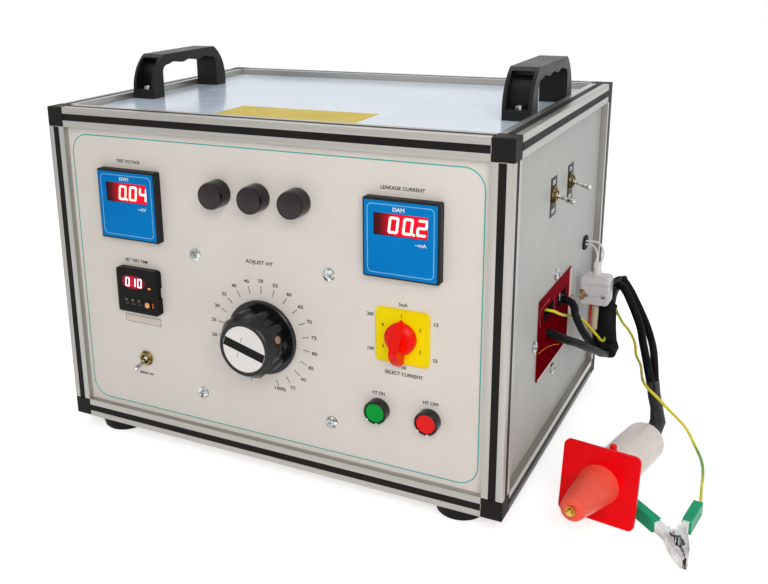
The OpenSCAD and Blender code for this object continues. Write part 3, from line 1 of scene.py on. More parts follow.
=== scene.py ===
from math import atan2, cos, degrees, pi, radians, sin
import bmesh
import bpy
from mathutils import Matrix, Vector


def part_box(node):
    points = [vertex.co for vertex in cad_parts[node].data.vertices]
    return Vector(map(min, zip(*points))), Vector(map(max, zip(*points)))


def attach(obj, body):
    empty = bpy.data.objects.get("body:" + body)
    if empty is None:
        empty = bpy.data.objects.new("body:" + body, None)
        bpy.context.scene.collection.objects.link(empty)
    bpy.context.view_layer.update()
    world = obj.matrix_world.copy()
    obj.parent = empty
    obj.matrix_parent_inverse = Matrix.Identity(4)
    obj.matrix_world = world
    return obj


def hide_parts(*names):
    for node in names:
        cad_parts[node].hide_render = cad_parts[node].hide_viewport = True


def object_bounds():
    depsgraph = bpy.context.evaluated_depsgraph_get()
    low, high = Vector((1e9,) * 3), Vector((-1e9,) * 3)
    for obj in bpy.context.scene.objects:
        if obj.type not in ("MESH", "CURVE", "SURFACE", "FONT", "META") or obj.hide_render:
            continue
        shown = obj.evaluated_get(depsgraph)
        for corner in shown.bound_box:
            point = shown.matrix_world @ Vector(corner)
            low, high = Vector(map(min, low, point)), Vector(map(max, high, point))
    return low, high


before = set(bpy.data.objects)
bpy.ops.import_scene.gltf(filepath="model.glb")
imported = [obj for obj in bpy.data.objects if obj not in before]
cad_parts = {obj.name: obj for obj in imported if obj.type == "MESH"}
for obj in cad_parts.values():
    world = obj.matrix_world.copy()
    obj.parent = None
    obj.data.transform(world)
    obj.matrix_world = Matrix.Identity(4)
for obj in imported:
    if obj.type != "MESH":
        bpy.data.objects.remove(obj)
cad_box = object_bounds()

# The case and its faces. Pieces are modelled in millimetres and placed by one matrix.
MM = 0.001
corner = Vector(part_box("corner_blocks")[0])
case_w, case_d, case_h = (Vector(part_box("corner_blocks")[1]) - corner) / MM
recess = (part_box("front_panel")[0][1] - corner.y) / MM
CASE = Matrix.Translation(corner) @ Matrix.Scale(MM, 4)


def turned(angle, axis):
    return Matrix.Rotation(radians(angle), 4, axis)


def at(x, y, z=0.0, angle=0.0):
    return Matrix.Translation((x, y, z)) @ turned(angle, "Z")


def on(face, x, y, z=0.0, angle=0.0):
    return face @ at(x, y, z, angle)


# On each face x runs to the right and y up as seen from outside, and z stands out of the panel
FRONT = on(CASE, 0, recess) @ turned(90, "X")
RIGHT = on(CASE, case_w - recess, 0, 0, 90) @ turned(90, "X")
TOP = on(CASE, 0, 0, case_h - recess)


def node_in(face, name):
    """The box of a CAD node in the millimetres of a face."""
    low, high = (Vector(p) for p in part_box(name))
    ends = [face.inverted() @ p for p in (low, high)]
    return [Vector(map(pick, *ends)) for pick in (min, max)]


def scene_object(name, data):
    """A new object, linked into the scene."""
    obj = bpy.data.objects.new(name, data)
    bpy.context.scene.collection.objects.link(obj)
    return obj


# Camera: solved from the case's edges in the photograph, in its pixels and in the case's millimetres
PHOTO_W, PHOTO_H = 768, 584
FOCAL_PX = 951.93
CENTRE_PX = (311.98, 234.42)
CAMERA_AT = (703.03, -720.98, 486.22)
TO_RIGHT = Vector((0.878840, 0.476546, -0.023337))
DOWN = Vector((0.114883, -0.258832, -0.959066))
AHEAD = Vector((-0.463080, 0.840184, -0.282219))
camera_data = bpy.data.cameras.new("photo_camera")
camera_data.sensor_width = 36
camera_data.lens = FOCAL_PX * camera_data.sensor_width / PHOTO_W
camera_data.shift_x = (PHOTO_W / 2 - CENTRE_PX[0]) / PHOTO_W
camera_data.shift_y = (CENTRE_PX[1] - PHOTO_H / 2) / PHOTO_W
camera = scene_object("photo_camera", camera_data)
camera_axes = Matrix((TO_RIGHT, -DOWN, -AHEAD)).transposed().to_4x4()
camera.matrix_world = Matrix.Translation(CASE @ Vector(CAMERA_AT)) @ camera_axes
bpy.context.scene.camera = camera

# Nodes and shader groups that the finishes share


def paint(code):
    """The linear colour of a red, green and blue written as six hexadecimal digits."""
    parts = [int(code[i:i + 2], 16) / 255 for i in (0, 2, 4)]
    return tuple(((p + 0.055) / 1.055) ** 2.4 if p > 0.04045 else p / 12.92 for p in parts) + (1.0,)


def feed(tree, socket, value):
    """Links another node's output to an input, or writes a plain value into it."""
    if isinstance(value, bpy.types.NodeSocket):
        tree.links.new(value, socket)
    else:
        socket.default_value = value


def dress(tree, shader, **looks):
    """Feeds the inputs of a shader. The spaces in their names are written as underscores."""
    for name, value in looks.items():
        feed(tree, shader.inputs[name.replace("_", " ")], value)


def maths(tree, operation, a, b=0.0):
    node = tree.nodes.new("ShaderNodeMath")
    node.operation = operation
    feed(tree, node.inputs[0], a)
    feed(tree, node.inputs[1], b)
    return node.outputs[0]


def spread(tree, value, low, high, to_low=0.0, to_high=1.0):
    node = tree.nodes.new("ShaderNodeMapRange")
    dress(tree, node, Value=value, From_Min=low, From_Max=high, To_Min=to_low, To_Max=to_high)
    return node.outputs["Result"]


def blend_colours(tree, factor, a, b):
    node = tree.nodes.new("ShaderNodeMix")
    node.data_type = "RGBA"
    for number, value in ((0, factor), (6, a), (7, b)):
        feed(tree, node.inputs[number], value)
    return node.outputs[2]


def either(tree, choice, a, b):
    """a where the choice is 0, and b where it is 1."""
    part_a = maths(tree, "MULTIPLY", maths(tree, "SUBTRACT", 1.0, choice), a)
    return maths(tree, "ADD", maths(tree, "MULTIPLY", choice, b), part_a)


def axis_value(tree, vector, axis):
    split = tree.nodes.new("ShaderNodeSeparateXYZ")
    tree.links.new(vector, split.inputs["Vector"])
    return split.outputs[axis]


def beyond(tree, vector, point, direction, distance=0.0):
    """1 where the surface lies further than the distance from a point, along a direction."""
    node = tree.nodes.new("ShaderNodeVectorMath")
    node.operation = "DOT_PRODUCT"
    tree.links.new(vector, node.inputs[0])
    node.inputs[1].default_value = direction
    limit = Vector(point).dot(Vector(direction)) + distance
    return maths(tree, "GREATER_THAN", node.outputs["Value"], limit)


def noise_in(tree, vector, scale, detail, roughness=0.55):
    node = tree.nodes.new("ShaderNodeTexNoise")
    dress(tree, node, Vector=vector, Scale=scale, Detail=detail, Roughness=roughness)
    return node.outputs["Fac"]


def group_tree(name, inputs, output, kind):
    """A node group with a vector and other inputs, and one output."""
    tree = bpy.data.node_groups.new(name, "ShaderNodeTree")
    tree.interface.new_socket("Vector", in_out="INPUT", socket_type="NodeSocketVector")
    for socket, usual in inputs.items():
        colour = usual is None
        made = tree.interface.new_socket(socket, in_out="INPUT",
                                         socket_type="NodeSocketColor" if colour else "NodeSocketFloat")
        if not colour:
            made.default_value = usual
    tree.interface.new_socket(output, in_out="OUTPUT", socket_type="NodeSocket" + kind)
    given = tree.nodes.new("NodeGroupInput").outputs
    return tree, given, tree.nodes.new("NodeGroupOutput").inputs[output]


def two_noises(tree, given, details, finer, parts, roughness=0.55):
    """A slow noise and one that is finer by a factor, each times its part, added up."""
    slow = noise_in(tree, given["Vector"], given["Scale"], details[0], roughness)
    fine = noise_in(tree, given["Vector"], maths(tree, "MULTIPLY", given["Scale"], finer), details[1])
    shares = (maths(tree, "MULTIPLY", noise, part) for noise, part in zip((slow, fine), parts))
    return maths(tree, "ADD", *shares)


def build_blotches():
    """Slow changes of tone over a surface, with a little fine dust."""
    usual = {"Scale": 20.0, "Light": None, "Dark": None}
    tree, given, out = group_tree("tone_blotches", usual, "Color", "Color")
    both = two_noises(tree, given, (4, 2), 37.0, (0.75, 0.25))
    tree.links.new(blend_colours(tree, spread(tree, both, 0.36, 0.64), given["Dark"], given["Light"]), out)
    return tree


def build_handling():
    """Roughness with the smears of hands and cloths in it, and fine scratches."""
    usual = {"Scale": 30.0, "Gloss": 0.3, "Worn": 0.5}
    tree, given, out = group_tree("handling_marks", usual, "Roughness", "Float")
    mixed = two_noises(tree, given, (5, 1), 29.0, (0.8, 0.2), 0.65)
    tree.links.new(spread(tree, mixed, 0.35, 0.68, given["Gloss"], given["Worn"]), out)
    return tree


def build_grain():
    """The relief of moulded plastic and powder coat: rounded pits of two sizes."""
    tree, given, out = group_tree("moulded_grain", {"Scale": 900.0}, "Height", "Float")
    tree.links.new(two_noises(tree, given, (2, 1), 2.7, (1.0, 0.4)), out)
    return tree


BLOTCHES = build_blotches()
HANDLING = build_handling()
GRAIN = build_grain()


def use_group(tree, group, vector, **values):
    node = tree.nodes.new("ShaderNodeGroup")
    node.node_tree = group
    dress(tree, node, Vector=vector, **values)
    return node.outputs[0]


def tones(tree, vector, light, dark, scale):
    return use_group(tree, BLOTCHES, vector, Scale=scale, Light=paint(light), Dark=paint(dark))


def wear(tree, vector, gloss, worn, scale):
    return use_group(tree, HANDLING, vector, Scale=scale, Gloss=gloss, Worn=worn)


def object_vector(tree, stretch=(1, 1, 1)):
    coordinates = tree.nodes.new("ShaderNodeTexCoord").outputs["Object"]
    mapping = tree.nodes.new("ShaderNodeMapping")
    mapping.inputs["Scale"].default_value = stretch
    tree.links.new(coordinates, mapping.inputs["Vector"])
    return mapping.outputs["Vector"]


def new_finish(name, stretch=(1, 1, 1)):
    material = bpy.data.materials.new(name)
    material.use_nodes = True
    tree = material.node_tree
    return material, tree, tree.nodes["Principled BSDF"], object_vector(tree, stretch)


def relief(tree, shader, height, depth):
    bump = tree.nodes.new("ShaderNodeBump")
    bump.inputs["Strength"].default_value = 1.0
    bump.inputs["Distance"].default_value = depth
    tree.links.new(height, bump.inputs["Height"])
    tree.links.new(bump.outputs["Normal"], shader.inputs["Normal"])


# Patterns are in features per metre, and depths of relief in metres
MICROMETRE = 0.000001
USUAL_SHINE = 0.5
USUAL_BLOTCH = 14.0
WEAR_PER_BLOTCH = 2.3


def coating(name, light, dark, gloss, worn, grain, pits, shine=USUAL_SHINE, blotch=USUAL_BLOTCH,
            stretch=(1, 1, 1), **other):
    """A painted, moulded or turned finish: two tones, two roughnesses, and pits in micrometres."""
    material, tree, shader, vector = new_finish(name, stretch)
    dress(tree, shader, Base_Color=tones(tree, vector, light, dark, blotch),
          Roughness=wear(tree, vector, gloss, worn, blotch * WEAR_PER_BLOTCH),
          Specular_IOR_Level=shine, **other)
    relief(tree, shader, use_group(tree, GRAIN, vector, Scale=grain), pits * MICROMETRE)
    return material


# Light tone, dark tone, roughness, roughness where worn, grain, pits, shine
COATINGS = {
    "white_coat": ("EDE6DE", "E9E2D9", 0.34, 0.46, 1500, 6, 0.3),
    "grey_coat": ("C2C3BD", "BBBCB6", 0.38, 0.50, 1500, 8, 0.3),
    "black_strip": ("1E1C1B", "161414", 0.50, 0.65, 1800, 10, 0.12),
    "black_moulding": ("1C1B1B", "151414", 0.46, 0.60, 1900, 20, 0.25),
    "corner_moulding": ("1C1917", "141210", 0.50, 0.64, 1900, 20, 0.15),
    "handle_black": ("171718", "111112", 0.36, 0.50, 1700, 30, 0.25),
    "gloss_black": ("0E0D0E", "090909", 0.16, 0.26, 700, 6, 0.35),
    "foot_rubber": ("121111", "0C0C0B", 0.62, 0.80, 1300, 40, 0.15),
    "meter_black": ("232122", "191718", 0.42, 0.56, 1700, 15, 0.2),
    "counter_black": ("121011", "0C0A0B", 0.30, 0.42, 1500, 8, 0.12),
    "meter_blue": ("0087D4", "007CCA", 0.34, 0.44, 1400, 4, 0.06),
    "pale_blue": ("8CCDF4", "80C3EE", 0.45, 0.55, 1400, 4, 0.1),
    "printed_white": ("F2F1EE", "E6E5E1", 0.45, 0.55, 1400, 3),
    "printed_black": ("1E1D1E", "151415", 0.45, 0.55, 1400, 3, 0.1),
    "printed_teal": ("48BCB8", "40B0AE", 0.45, 0.55, 1400, 3, 0.1),
    "printed_orange": ("FF9A30", "F58C22", 0.45, 0.55, 1400, 3, 0.1),
    "printed_brown": ("4A3A08", "3C2E06", 0.45, 0.55, 1400, 3, 0.1),
    "sticker_white": ("EADCD4", "E2D4CC", 0.35, 0.50, 1400, 3, 0.2),
    "mark_grey": ("8C8A86", "7E7C78", 0.40, 0.55, 1400, 4),
    "key_grey": ("2C2927", "201E1C", 0.35, 0.50, 1700, 12, 0.2),
    "lens_dark_red": ("1E0406", "120203", 0.10, 0.18, 700, 4, 0.4),
    "disc_white": ("F8F4F1", "F2EEEB", 0.20, 0.32, 1200, 4),
    "plate_yellow": ("FFE600", "FFDC00", 0.30, 0.42, 1500, 6, 0.1),
    "plate_field": ("FFEA00", "FFE200", 0.32, 0.44, 1500, 6, 0.06),
    "label_yellow": ("E4C628", "D9BB22", 0.32, 0.44, 1500, 6, 0.1),
    "handle_red": ("FF1404", "F20E02", 0.14, 0.24, 800, 6, 0.14),
    "cap_green": ("00AC40", "009E3A", 0.22, 0.34, 1400, 8, 0.1),
    "cap_red": ("FF2320", "F01C1A", 0.22, 0.34, 1400, 8, 0.15),
    "plate_border": ("E6D6D2", "DCCBC7", 0.40, 0.50, 1400, 4, 0.2),
    "plate_line": ("C86A72", "B85A62", 0.40, 0.50, 1400, 4, 0.1),
    "ivory_tube": ("F2E6DE", "EADED6", 0.24, 0.36, 900, 3),
    "cable_jacket": ("121214", "0A0A0C", 0.34, 0.48, 1500, 12, 0.06),
    "woven_sleeve": ("1D1D1F", "101011", 0.60, 0.75, 1100, 50, 0.15),
    "shrink_tube": ("2E2C30", "1F1E21", 0.46, 0.60, 700, 40, 0.25),
    "white_wire": ("E9E7E2", "DEDBD5", 0.32, 0.44, 1300, 8),
    "beige_sleeve": ("CDBFA4", "BCAE92", 0.45, 0.60, 1300, 12),
    "braid_red": ("C42420", "A81C1A", 0.40, 0.55, 1300, 10, 0.2),
    "cast_paint": ("4A5157", "40464C", 0.45, 0.60, 900, 30),
    "lamination": ("3A3A3E", "2C2C30", 0.40, 0.55, 1200, 30),
    "board_green": ("1F5B35", "17492A", 0.30, 0.45, 1200, 15),
}
FINISHES = {name: coating(name, *look) for name, look in COATINGS.items()}
FINISHES["top_coat"] = coating("top_coat", "E2EEFC", "DAE7F6", 0.18, 0.28, 900, 6, Coat_Weight=0.1)
FINISHES["nylon_block"] = coating("nylon_block", "ECEBEC", "DEDDDF", 0.20, 0.30, 900, 4,
                                  Transmission_Weight=0.15)

# The metals: the same up to the pits, then the size of the blotches and how far they are metal
METALS = {
    "zinc_plate": ("F2F4F2", "4A524E", 0.14, 0.34, 1600, 12, 300, 1.0),
    "nickel_plate": ("EEEAE6", "56524C", 0.12, 0.30, 900, 10, 280, 1.0),
    "turned_brass": ("DDB55C", "9A7230", 0.18, 0.34, 1500, 12, 120, 1.0),
    "nut_brass": ("C0AE76", "2C2818", 0.18, 0.38, 1200, 12, 320, 1.0),
    "old_brass": ("D8A878", "7A5830", 0.24, 0.44, 1200, 12, 200, 0.8),
    "grub_brass": ("C8AA96", "9C7E6A", 0.30, 0.50, 1200, 12, 160, 0.5),
    "copper_wire": ("B06A38", "8E4F26", 0.25, 0.40, 1500, 30, USUAL_BLOTCH, 0.6),
}
for name, (*look, blotch, metal) in METALS.items():
    FINISHES[name] = coating(name, *look, blotch=blotch, Metallic=metal)

# The profiles: anodised, with the fine lines of the drawing die along them, and a black painted shadow on the
# outer edges at the rear right
ALU_TONES = ("B8B5AF", "A5A29C")
ALU_ROUGHNESS = (0.26, 0.40)
ALU_GRAIN, ALU_PITS, ALU_BLOTCH, ALU_METAL = 2600, 12, 180, 0.85
LINES_STRETCH = 0.012
PROFILE = 20.0
# The painted shadow on the profiles' outer edges: how far in it reaches, and the planes past which it lies
SHADED_EDGE_W = 9.5
RIGHT_EDGE = (CASE @ Vector((case_w - SHADED_EDGE_W, 0, 0)), (1, 0, 0))
REAR_EDGE = (CASE @ Vector((0, case_d - SHADED_EDGE_W, 0)), (0, 1, 0))
LOW_EDGE = (CASE @ Vector((0, 0, SHADED_EDGE_W)), (0, 0, -1))


def painted_shadow_edge(tree, shader, tone, planes):
    """Painted shadow: black on a profile's outer edge, past all of the planes."""
    vector = object_vector(tree)
    past = 1.0
    for plane in planes:
        past = maths(tree, "MULTIPLY", beyond(tree, vector, *plane), past)
    # 0A0908 is the black of the painted shadow
    dress(tree, shader, Base_Color=blend_colours(tree, past, tone, paint("0A0908")), Metallic=ALU_METAL)


def post_finish():
    """The posts' lines run along Z."""
    material = coating("post_alu", *ALU_TONES, *ALU_ROUGHNESS, ALU_GRAIN, ALU_PITS, blotch=ALU_BLOTCH,
                       stretch=(1, 1, LINES_STRETCH))
    tree = material.node_tree
    shader = tree.nodes["Principled BSDF"]
    painted_shadow_edge(tree, shader, shader.inputs["Base Color"].links[0].from_socket, [RIGHT_EDGE, REAR_EDGE])
    return material


def rail_finish():
    """The rails' lines run along X on the long rails and along Y on the short ones."""
    material, tree, shader, vector = new_finish("rail_alu")
    half_w = case_w * MM / 2
    from_middle = maths(tree, "SUBTRACT", axis_value(tree, vector, "X"), corner.x + half_w)
    short_rail = maths(tree, "GREATER_THAN", maths(tree, "ABSOLUTE", from_middle), half_w - PROFILE * MM)
    looks = []
    for stretch in ((LINES_STRETCH, 1, 1), (1, LINES_STRETCH, 1)):
        drawn = object_vector(tree, stretch)
        looks.append((tones(tree, drawn, *ALU_TONES, ALU_BLOTCH), wear(tree, drawn, *ALU_ROUGHNESS, 400),
                      use_group(tree, GRAIN, drawn, Scale=ALU_GRAIN)))
    tone_pair, wear_pair, grain_pair = zip(*looks)
    painted_shadow_edge(tree, shader, blend_colours(tree, short_rail, *tone_pair), [RIGHT_EDGE, LOW_EDGE])
    dress(tree, shader, Roughness=either(tree, short_rail, *wear_pair))
    relief(tree, shader, either(tree, short_rail, *grain_pair), ALU_PITS * MICROMETRE)
    return material


FINISHES["post_alu"] = post_finish()
FINISHES["rail_alu"] = rail_finish()

# Lit, windowed and two-coloured parts


def glow_finish(name, base, light, strength):
    """Lit plastic: brightest where the lamp behind it is, a little uneven. Where no lamp is behind it, the
    glow is painted light.
    """
    material, tree, shader, vector = new_finish(name)
    tone = tones(tree, vector, light, base, 90)
    dress(tree, shader, Base_Color=tone, Emission_Color=tone, Emission_Strength=strength,
          Roughness=wear(tree, vector, 0.25, 0.4, 120))
    return material


# key_orange glows too: on the counter's signal lamp that is the lamp's own light, and on the reset key's
# orange ring it is painted light
for name, glow in {"digit_glow": ("FFB0A0", "FFD8CC", 1.6), "counter_glow": ("FFC8CC", "FFE6EA", 1.3),
                   "key_orange": ("F09018", "FFB440", 0.8)}.items():
    FINISHES[name] = glow_finish(name, *glow)

# The meters' windows, and how far they lie above the meters' middles; the light behind the counter's figures
WINDOW_W, WINDOW_H, WINDOW_UP = 50.5, 20.0, 13.3
GLOW_AT = CASE @ Vector((95.5, 0, 168.3))
GLOW_HALF_W, GLOW_HALF_H = 16.5 * MM, 8.5 * MM
COUNTER_WINDOW_TOP = 40 * MM


def window_finish():
    """Red filter glass: dark at the left, lit towards the figures, with a halo behind the counter's."""
    material, tree, shader, vector = new_finish("window_glass")
    x, z = axis_value(tree, vector, "X"), axis_value(tree, vector, "Z")
    low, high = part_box("display_windows")
    left = spread(tree, x, low[0], low[0] + WINDOW_W * MM)
    right = spread(tree, x, high[0] - WINDOW_W * MM, high[0])
    along = either(tree, maths(tree, "GREATER_THAN", x, (low[0] + high[0]) / 2), left, right)
    tone = blend_colours(tree, spread(tree, along, 0.10, 0.42), paint("3C0005"), paint("D00220"))
    lit = blend_colours(tree, spread(tree, along, 0.42, 0.75), tone, paint("E80428"))
    across = maths(tree, "DIVIDE", maths(tree, "SUBTRACT", x, GLOW_AT.x), GLOW_HALF_W)
    up = maths(tree, "DIVIDE", maths(tree, "SUBTRACT", z, GLOW_AT.z), GLOW_HALF_H)
    far = maths(tree, "ADD", maths(tree, "MULTIPLY", across, across), maths(tree, "MULTIPLY", up, up))
    halo = blend_colours(tree, spread(tree, far, 0.25, 1.0), paint("B0042E"), paint("0A0305"))
    in_counter = maths(tree, "LESS_THAN", z, low[2] + COUNTER_WINDOW_TOP)
    colour = blend_colours(tree, in_counter, lit, halo)
    dress(tree, shader, Base_Color=colour, Emission_Color=colour, Emission_Strength=0.6,
          Roughness=wear(tree, vector, 0.14, 0.24, 60), Specular_IOR_Level=0.12)
    return material


def earth_finish():
    """Yellow jacket with the green stripe that winds round it."""
    material, tree, shader, vector = new_finish("earth_jacket")
    twist = noise_in(tree, object_vector(tree, (16, 16, 16)), 1.0, 1)
    yellow = tones(tree, vector, "F6E20C", "DED014", 60)
    colour = blend_colours(tree, spread(tree, twist, 0.50, 0.60), yellow, paint("74B23C"))
    dress(tree, shader, Base_Color=colour, Roughness=wear(tree, vector, 0.3, 0.45, 90))
    return material


def maroon_finish():
    """Engraving sheet, deep red, with a painted reflection that makes it paler towards its top and rear."""
    material, tree, shader, vector = new_finish("plate_maroon")
    low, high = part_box("terminal_plate")
    up = spread(tree, axis_value(tree, vector, "Z"), low[2], high[2], 0.0, 0.7)
    back = spread(tree, axis_value(tree, vector, "Y"), low[1], high[1], 0.0, 0.3)
    # Painted reflection: the plate blends towards the paler red A42A36 at its top and rear
    pale = spread(tree, maths(tree, "ADD", up, back), 0.55, 0.95, 0.0, 0.75)
    colour = blend_colours(tree, pale, tones(tree, vector, "7C0410", "6C030D", 14), paint("A42A36"))
    dress(tree, shader, Base_Color=colour, Roughness=wear(tree, vector, 0.5, 0.65, 32),
          Specular_IOR_Level=0.0)
    return material


def two_part(name, planes, near, far, metal=None):
    """Two looks on one node, the far one past any of the planes: two tones and two roughnesses each."""
    material, tree, shader, vector = new_finish(name)
    past = 0.0
    for plane in planes:
        past = maths(tree, "MAXIMUM", beyond(tree, vector, *plane), past)
    colours = [tones(tree, vector, *look[:2], 40) for look in (near, far)]
    roughness = [wear(tree, vector, *look[2:], 90) for look in (near, far)]
    dress(tree, shader, Base_Color=blend_colours(tree, past, *colours),
          Roughness=either(tree, past, *roughness), Specular_IOR_Level=0.12)
    if metal:
        dress(tree, shader, Metallic=past if metal == "far" else maths(tree, "SUBTRACT", 1.0, past))
    relief(tree, shader, use_group(tree, GRAIN, vector, Scale=1100), 10 * MICROMETRE)
    return material


# Where the gun and the clip lie: the gun's Y runs back along its tube, and the clip's origin is its pivot
GUN = on(CASE, 558.5, 64.0, 22.11, -8) @ turned(-6.734, "X")
CLIP = on(CASE, 628.0, 54.0, -13.0)
CLIP_TURN, HALF_OPEN = 19.4, 27
CLIP_SLEEVE_FROM = 21.9 * MM
FLANGE_FRONT = -0.9 * MM
gun_back = (GUN.to_3x3() @ Vector((0, 1, 0))).normalized()
# The guard is one red moulding: the flange keeps its deep red, and the cone's lighter orange is painted light
FINISHES["red_guard_and_lit_cone"] = two_part(
    "red_guard_and_lit_cone", [(GUN.translation, gun_back, FLANGE_FRONT)], ("FF6652", "FC5A46", 0.26, 0.38),
    ("FF0010", "F2000A", 0.28, 0.42))
for name, half in (("fixed_jaw_and_sleeve", -HALF_OPEN), ("moving_jaw_and_sleeve", HALF_OPEN)):
    arm = turned(CLIP_TURN + half, "Z") @ Vector((0, 1, 0))
    FINISHES[name] = two_part(
        name, [(CLIP.translation, arm, CLIP_SLEEVE_FROM)], ("E2E4E6", "8A8478", 0.16, 0.34),
        ("00B47E", "009A6C", 0.28, 0.42), metal="near")
outside = [(face.translation, (face.to_3x3() @ Vector((0, 0, 1))).normalized()) for face in (FRONT, RIGHT)]
FINISHES["toggle_switch"] = two_part("toggle_switch", outside, ("1C1B1B", "151414", 0.45, 0.6),
                                     ("B4A26C", "332C1C", 0.14, 0.3), metal="far")
FINISHES["window_glass"] = window_finish()
FINISHES["earth_jacket"] = earth_finish()
FINISHES["plate_maroon"] = maroon_finish()

NODE_FINISHES = {
    "post_alu": "frame_posts",
    "rail_alu": "frame_rails",
    "black_strip": "cover_strips",
    "black_moulding": "ring_nuts terminal_unit mains_inlet brush_arm",
    "corner_moulding": "corner_blocks",
    "counter_black": "counter_housing",
    "nut_brass": "toggle_nuts",
    "white_coat": "front_panel",
    "grey_coat": "back_panel left_panel right_panel bottom_panel",
    "top_coat": "top_panel",
    "handle_black": "handles",
    "foot_rubber": "feet cable_grommet",
    "zinc_plate": "case_bolts panel_screws dial_shaft",
    "meter_black": "meter_housings",
    "window_glass": "display_windows",
    "key_grey": "setting_key_1 setting_key_2 setting_key_3 reset_key",
    "gloss_black": "lamp_holders dial_knob selector_body button_housings",
    "lens_dark_red": "lamp_lenses",
    "cast_paint": "transformer_base",
    "copper_wire": "transformer_coil",
    "disc_white": "dial_disc",
    "plate_yellow": "selector_plate",
    "handle_red": "selector_handle trigger_button",
    "toggle_switch": "toggle_bodies",
    "nickel_plate": "power_lever side_lever_1 side_lever_2 gun_switch clip_spring",
    "fixed_jaw_and_sleeve": "clip_fixed_jaw",
    "moving_jaw_and_sleeve": "clip_moving_jaw",
    "cap_green": "start_button",
    "cap_red": "stop_button",
    "plate_maroon": "terminal_plate",
    "lamination": "hv_transformer",
    "board_green": "control_board",
    "ivory_tube": "gun_body",
    "red_guard_and_lit_cone": "gun_guard",
    "turned_brass": "gun_tip",
    "nylon_block": "terminal_block",
}
for finish, names in NODE_FINISHES.items():
    for name in names.split():
        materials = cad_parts[name].data.materials
        for i in range(len(materials)):
            materials[i] = FINISHES[finish]
        if not materials:
            materials.append(FINISHES[finish])

# Making pieces


def mesh_of(name, bm):
    mesh = bpy.data.meshes.new(name)
    bm.to_mesh(mesh)
    bm.free()
    return mesh


def put(name, bm, place, finish, body="case", smooth=40):
    """Turns a finished shape, in millimetres, into a piece that rides on a body."""
    bm.transform(place)
    bmesh.ops.remove_doubles(bm, verts=bm.verts, dist=1e-7)
    bmesh.ops.recalc_face_normals(bm, faces=bm.faces)
    mesh = mesh_of(name, bm)
    mesh.materials.append(FINISHES[finish])
    mesh.shade_smooth()
    mesh.set_sharp_from_angle(angle=radians(smooth))
    obj = scene_object(name, mesh)
    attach(obj, body)
    return obj


def round_rim(bm, height, offset, segments=2):
    """Rounds off the edges that lie at that height."""
    rim = [e for e in bm.edges if all(abs(v.co.z - height) < 1e-6 for v in e.verts)]
    bmesh.ops.bevel(bm, geom=rim, offset=offset, segments=segments, profile=0.5, affect="EDGES", material=-1)


def raise_faces(bm, height):
    """Makes a solid of a flat shape."""
    top = bmesh.ops.extrude_face_region(bm, geom=bm.faces[:])["geom"]
    raised = [v for v in top if isinstance(v, bmesh.types.BMVert)]
    bmesh.ops.translate(bm, verts=raised, vec=(0, 0, height))


def slab(w, h, t, r, bevel=0.0, steps=6, z=0.0):
    """A plate with rounded corners, its back on z, and a bevel round its front."""
    bm = bmesh.new()
    verts = bmesh.ops.create_circle(bm, segments=4 * steps, radius=r, cap_ends=True)["verts"]
    bmesh.ops.rotate(bm, verts=verts, matrix=turned(180 / (4 * steps), "Z"))
    for vert in verts:
        vert.co.x += (w / 2 - r) * (1 if vert.co.x > 0 else -1)
        vert.co.y += (h / 2 - r) * (1 if vert.co.y > 0 else -1)
        vert.co.z = z
    raise_faces(bm, t)
    if bevel:
        round_rim(bm, z + t, bevel)
    return bm


# A face is level when its normal points up or down by at least this much
LEVEL = 0.9


def ring_plate(w, h, r, width, t, z=0.0, steps=6):
    """A flat frame of that width inside a rounded rectangle."""
    bm = slab(w, h, t, r, steps=steps, z=z)
    ends = [f for f in bm.faces if abs(f.normal.z) > LEVEL]
    inner = bmesh.ops.inset_region(bm, faces=ends, thickness=width, depth=0)
    bm.normal_update()
    caps = [f for f in bm.faces if abs(f.normal.z) > LEVEL and f not in inner["faces"]]
    edges = [e for f in caps for e in f.edges]
    bmesh.ops.delete(bm, geom=caps, context="FACES_ONLY")
    bmesh.ops.bridge_loops(bm, edges=list(set(e for e in edges if e.is_valid)))
    return bm


def disc(radius, z0, z1, segments=48, bevel=0.0, low_radius=None):
    bm = bmesh.new()
    bmesh.ops.create_cone(bm, cap_ends=True, segments=segments, radius1=low_radius or radius, radius2=radius,
                          depth=z1 - z0)
    bmesh.ops.translate(bm, verts=bm.verts, vec=(0, 0, (z0 + z1) / 2))
    if bevel:
        round_rim(bm, z1, bevel)
    return bm


def add(bm, other, place=Matrix()):
    """Moves another shape into bm."""
    other.transform(place)
    mesh = mesh_of("part", other)
    bm.from_mesh(mesh)
    bpy.data.meshes.remove(mesh)


INK = 0.10
CAPITALS_PER_SIZE = 0.7


def letters(text, height, bold=0.0):
    """Printed lettering, centred on the origin, capitals of that height."""
    curve = bpy.data.curves.new("letters", "FONT")
    curve.body = text
    curve.size = height / CAPITALS_PER_SIZE
    curve.align_x = "CENTER"
    curve.offset = bold
    curve.extrude = INK / 2
    obj = scene_object("letters", curve)
    bpy.context.view_layer.update()
    mesh = bpy.data.meshes.new_from_object(obj.evaluated_get(bpy.context.evaluated_depsgraph_get()))
    bpy.data.objects.remove(obj)
    bpy.data.curves.remove(curve)
    bm = bmesh.new()
    bm.from_mesh(mesh)
    bpy.data.meshes.remove(mesh)
    bm.transform(at(0, -height / 2, INK / 2))
    return bm


# Cables, with the middle points of their routes in the millimetres of the case


def cable(name, points, diameter, finish, sides=4):
    curve = bpy.data.curves.new(name, "CURVE")
    curve.dimensions = "3D"
    curve.bevel_depth = diameter * MM / 2
    curve.bevel_resolution = sides
    curve.resolution_u = 8
    curve.use_fill_caps = True
    spline = curve.splines.new("BEZIER")
    spline.bezier_points.add(len(points) - 1)
    for knot, point in zip(spline.bezier_points, points):
        knot.co = CASE @ Vector(point)
        knot.handle_left_type = knot.handle_right_type = "AUTO"
    curve.materials.append(FINISHES[finish])
    obj = scene_object(name, curve)
    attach(obj, "case")
    return obj


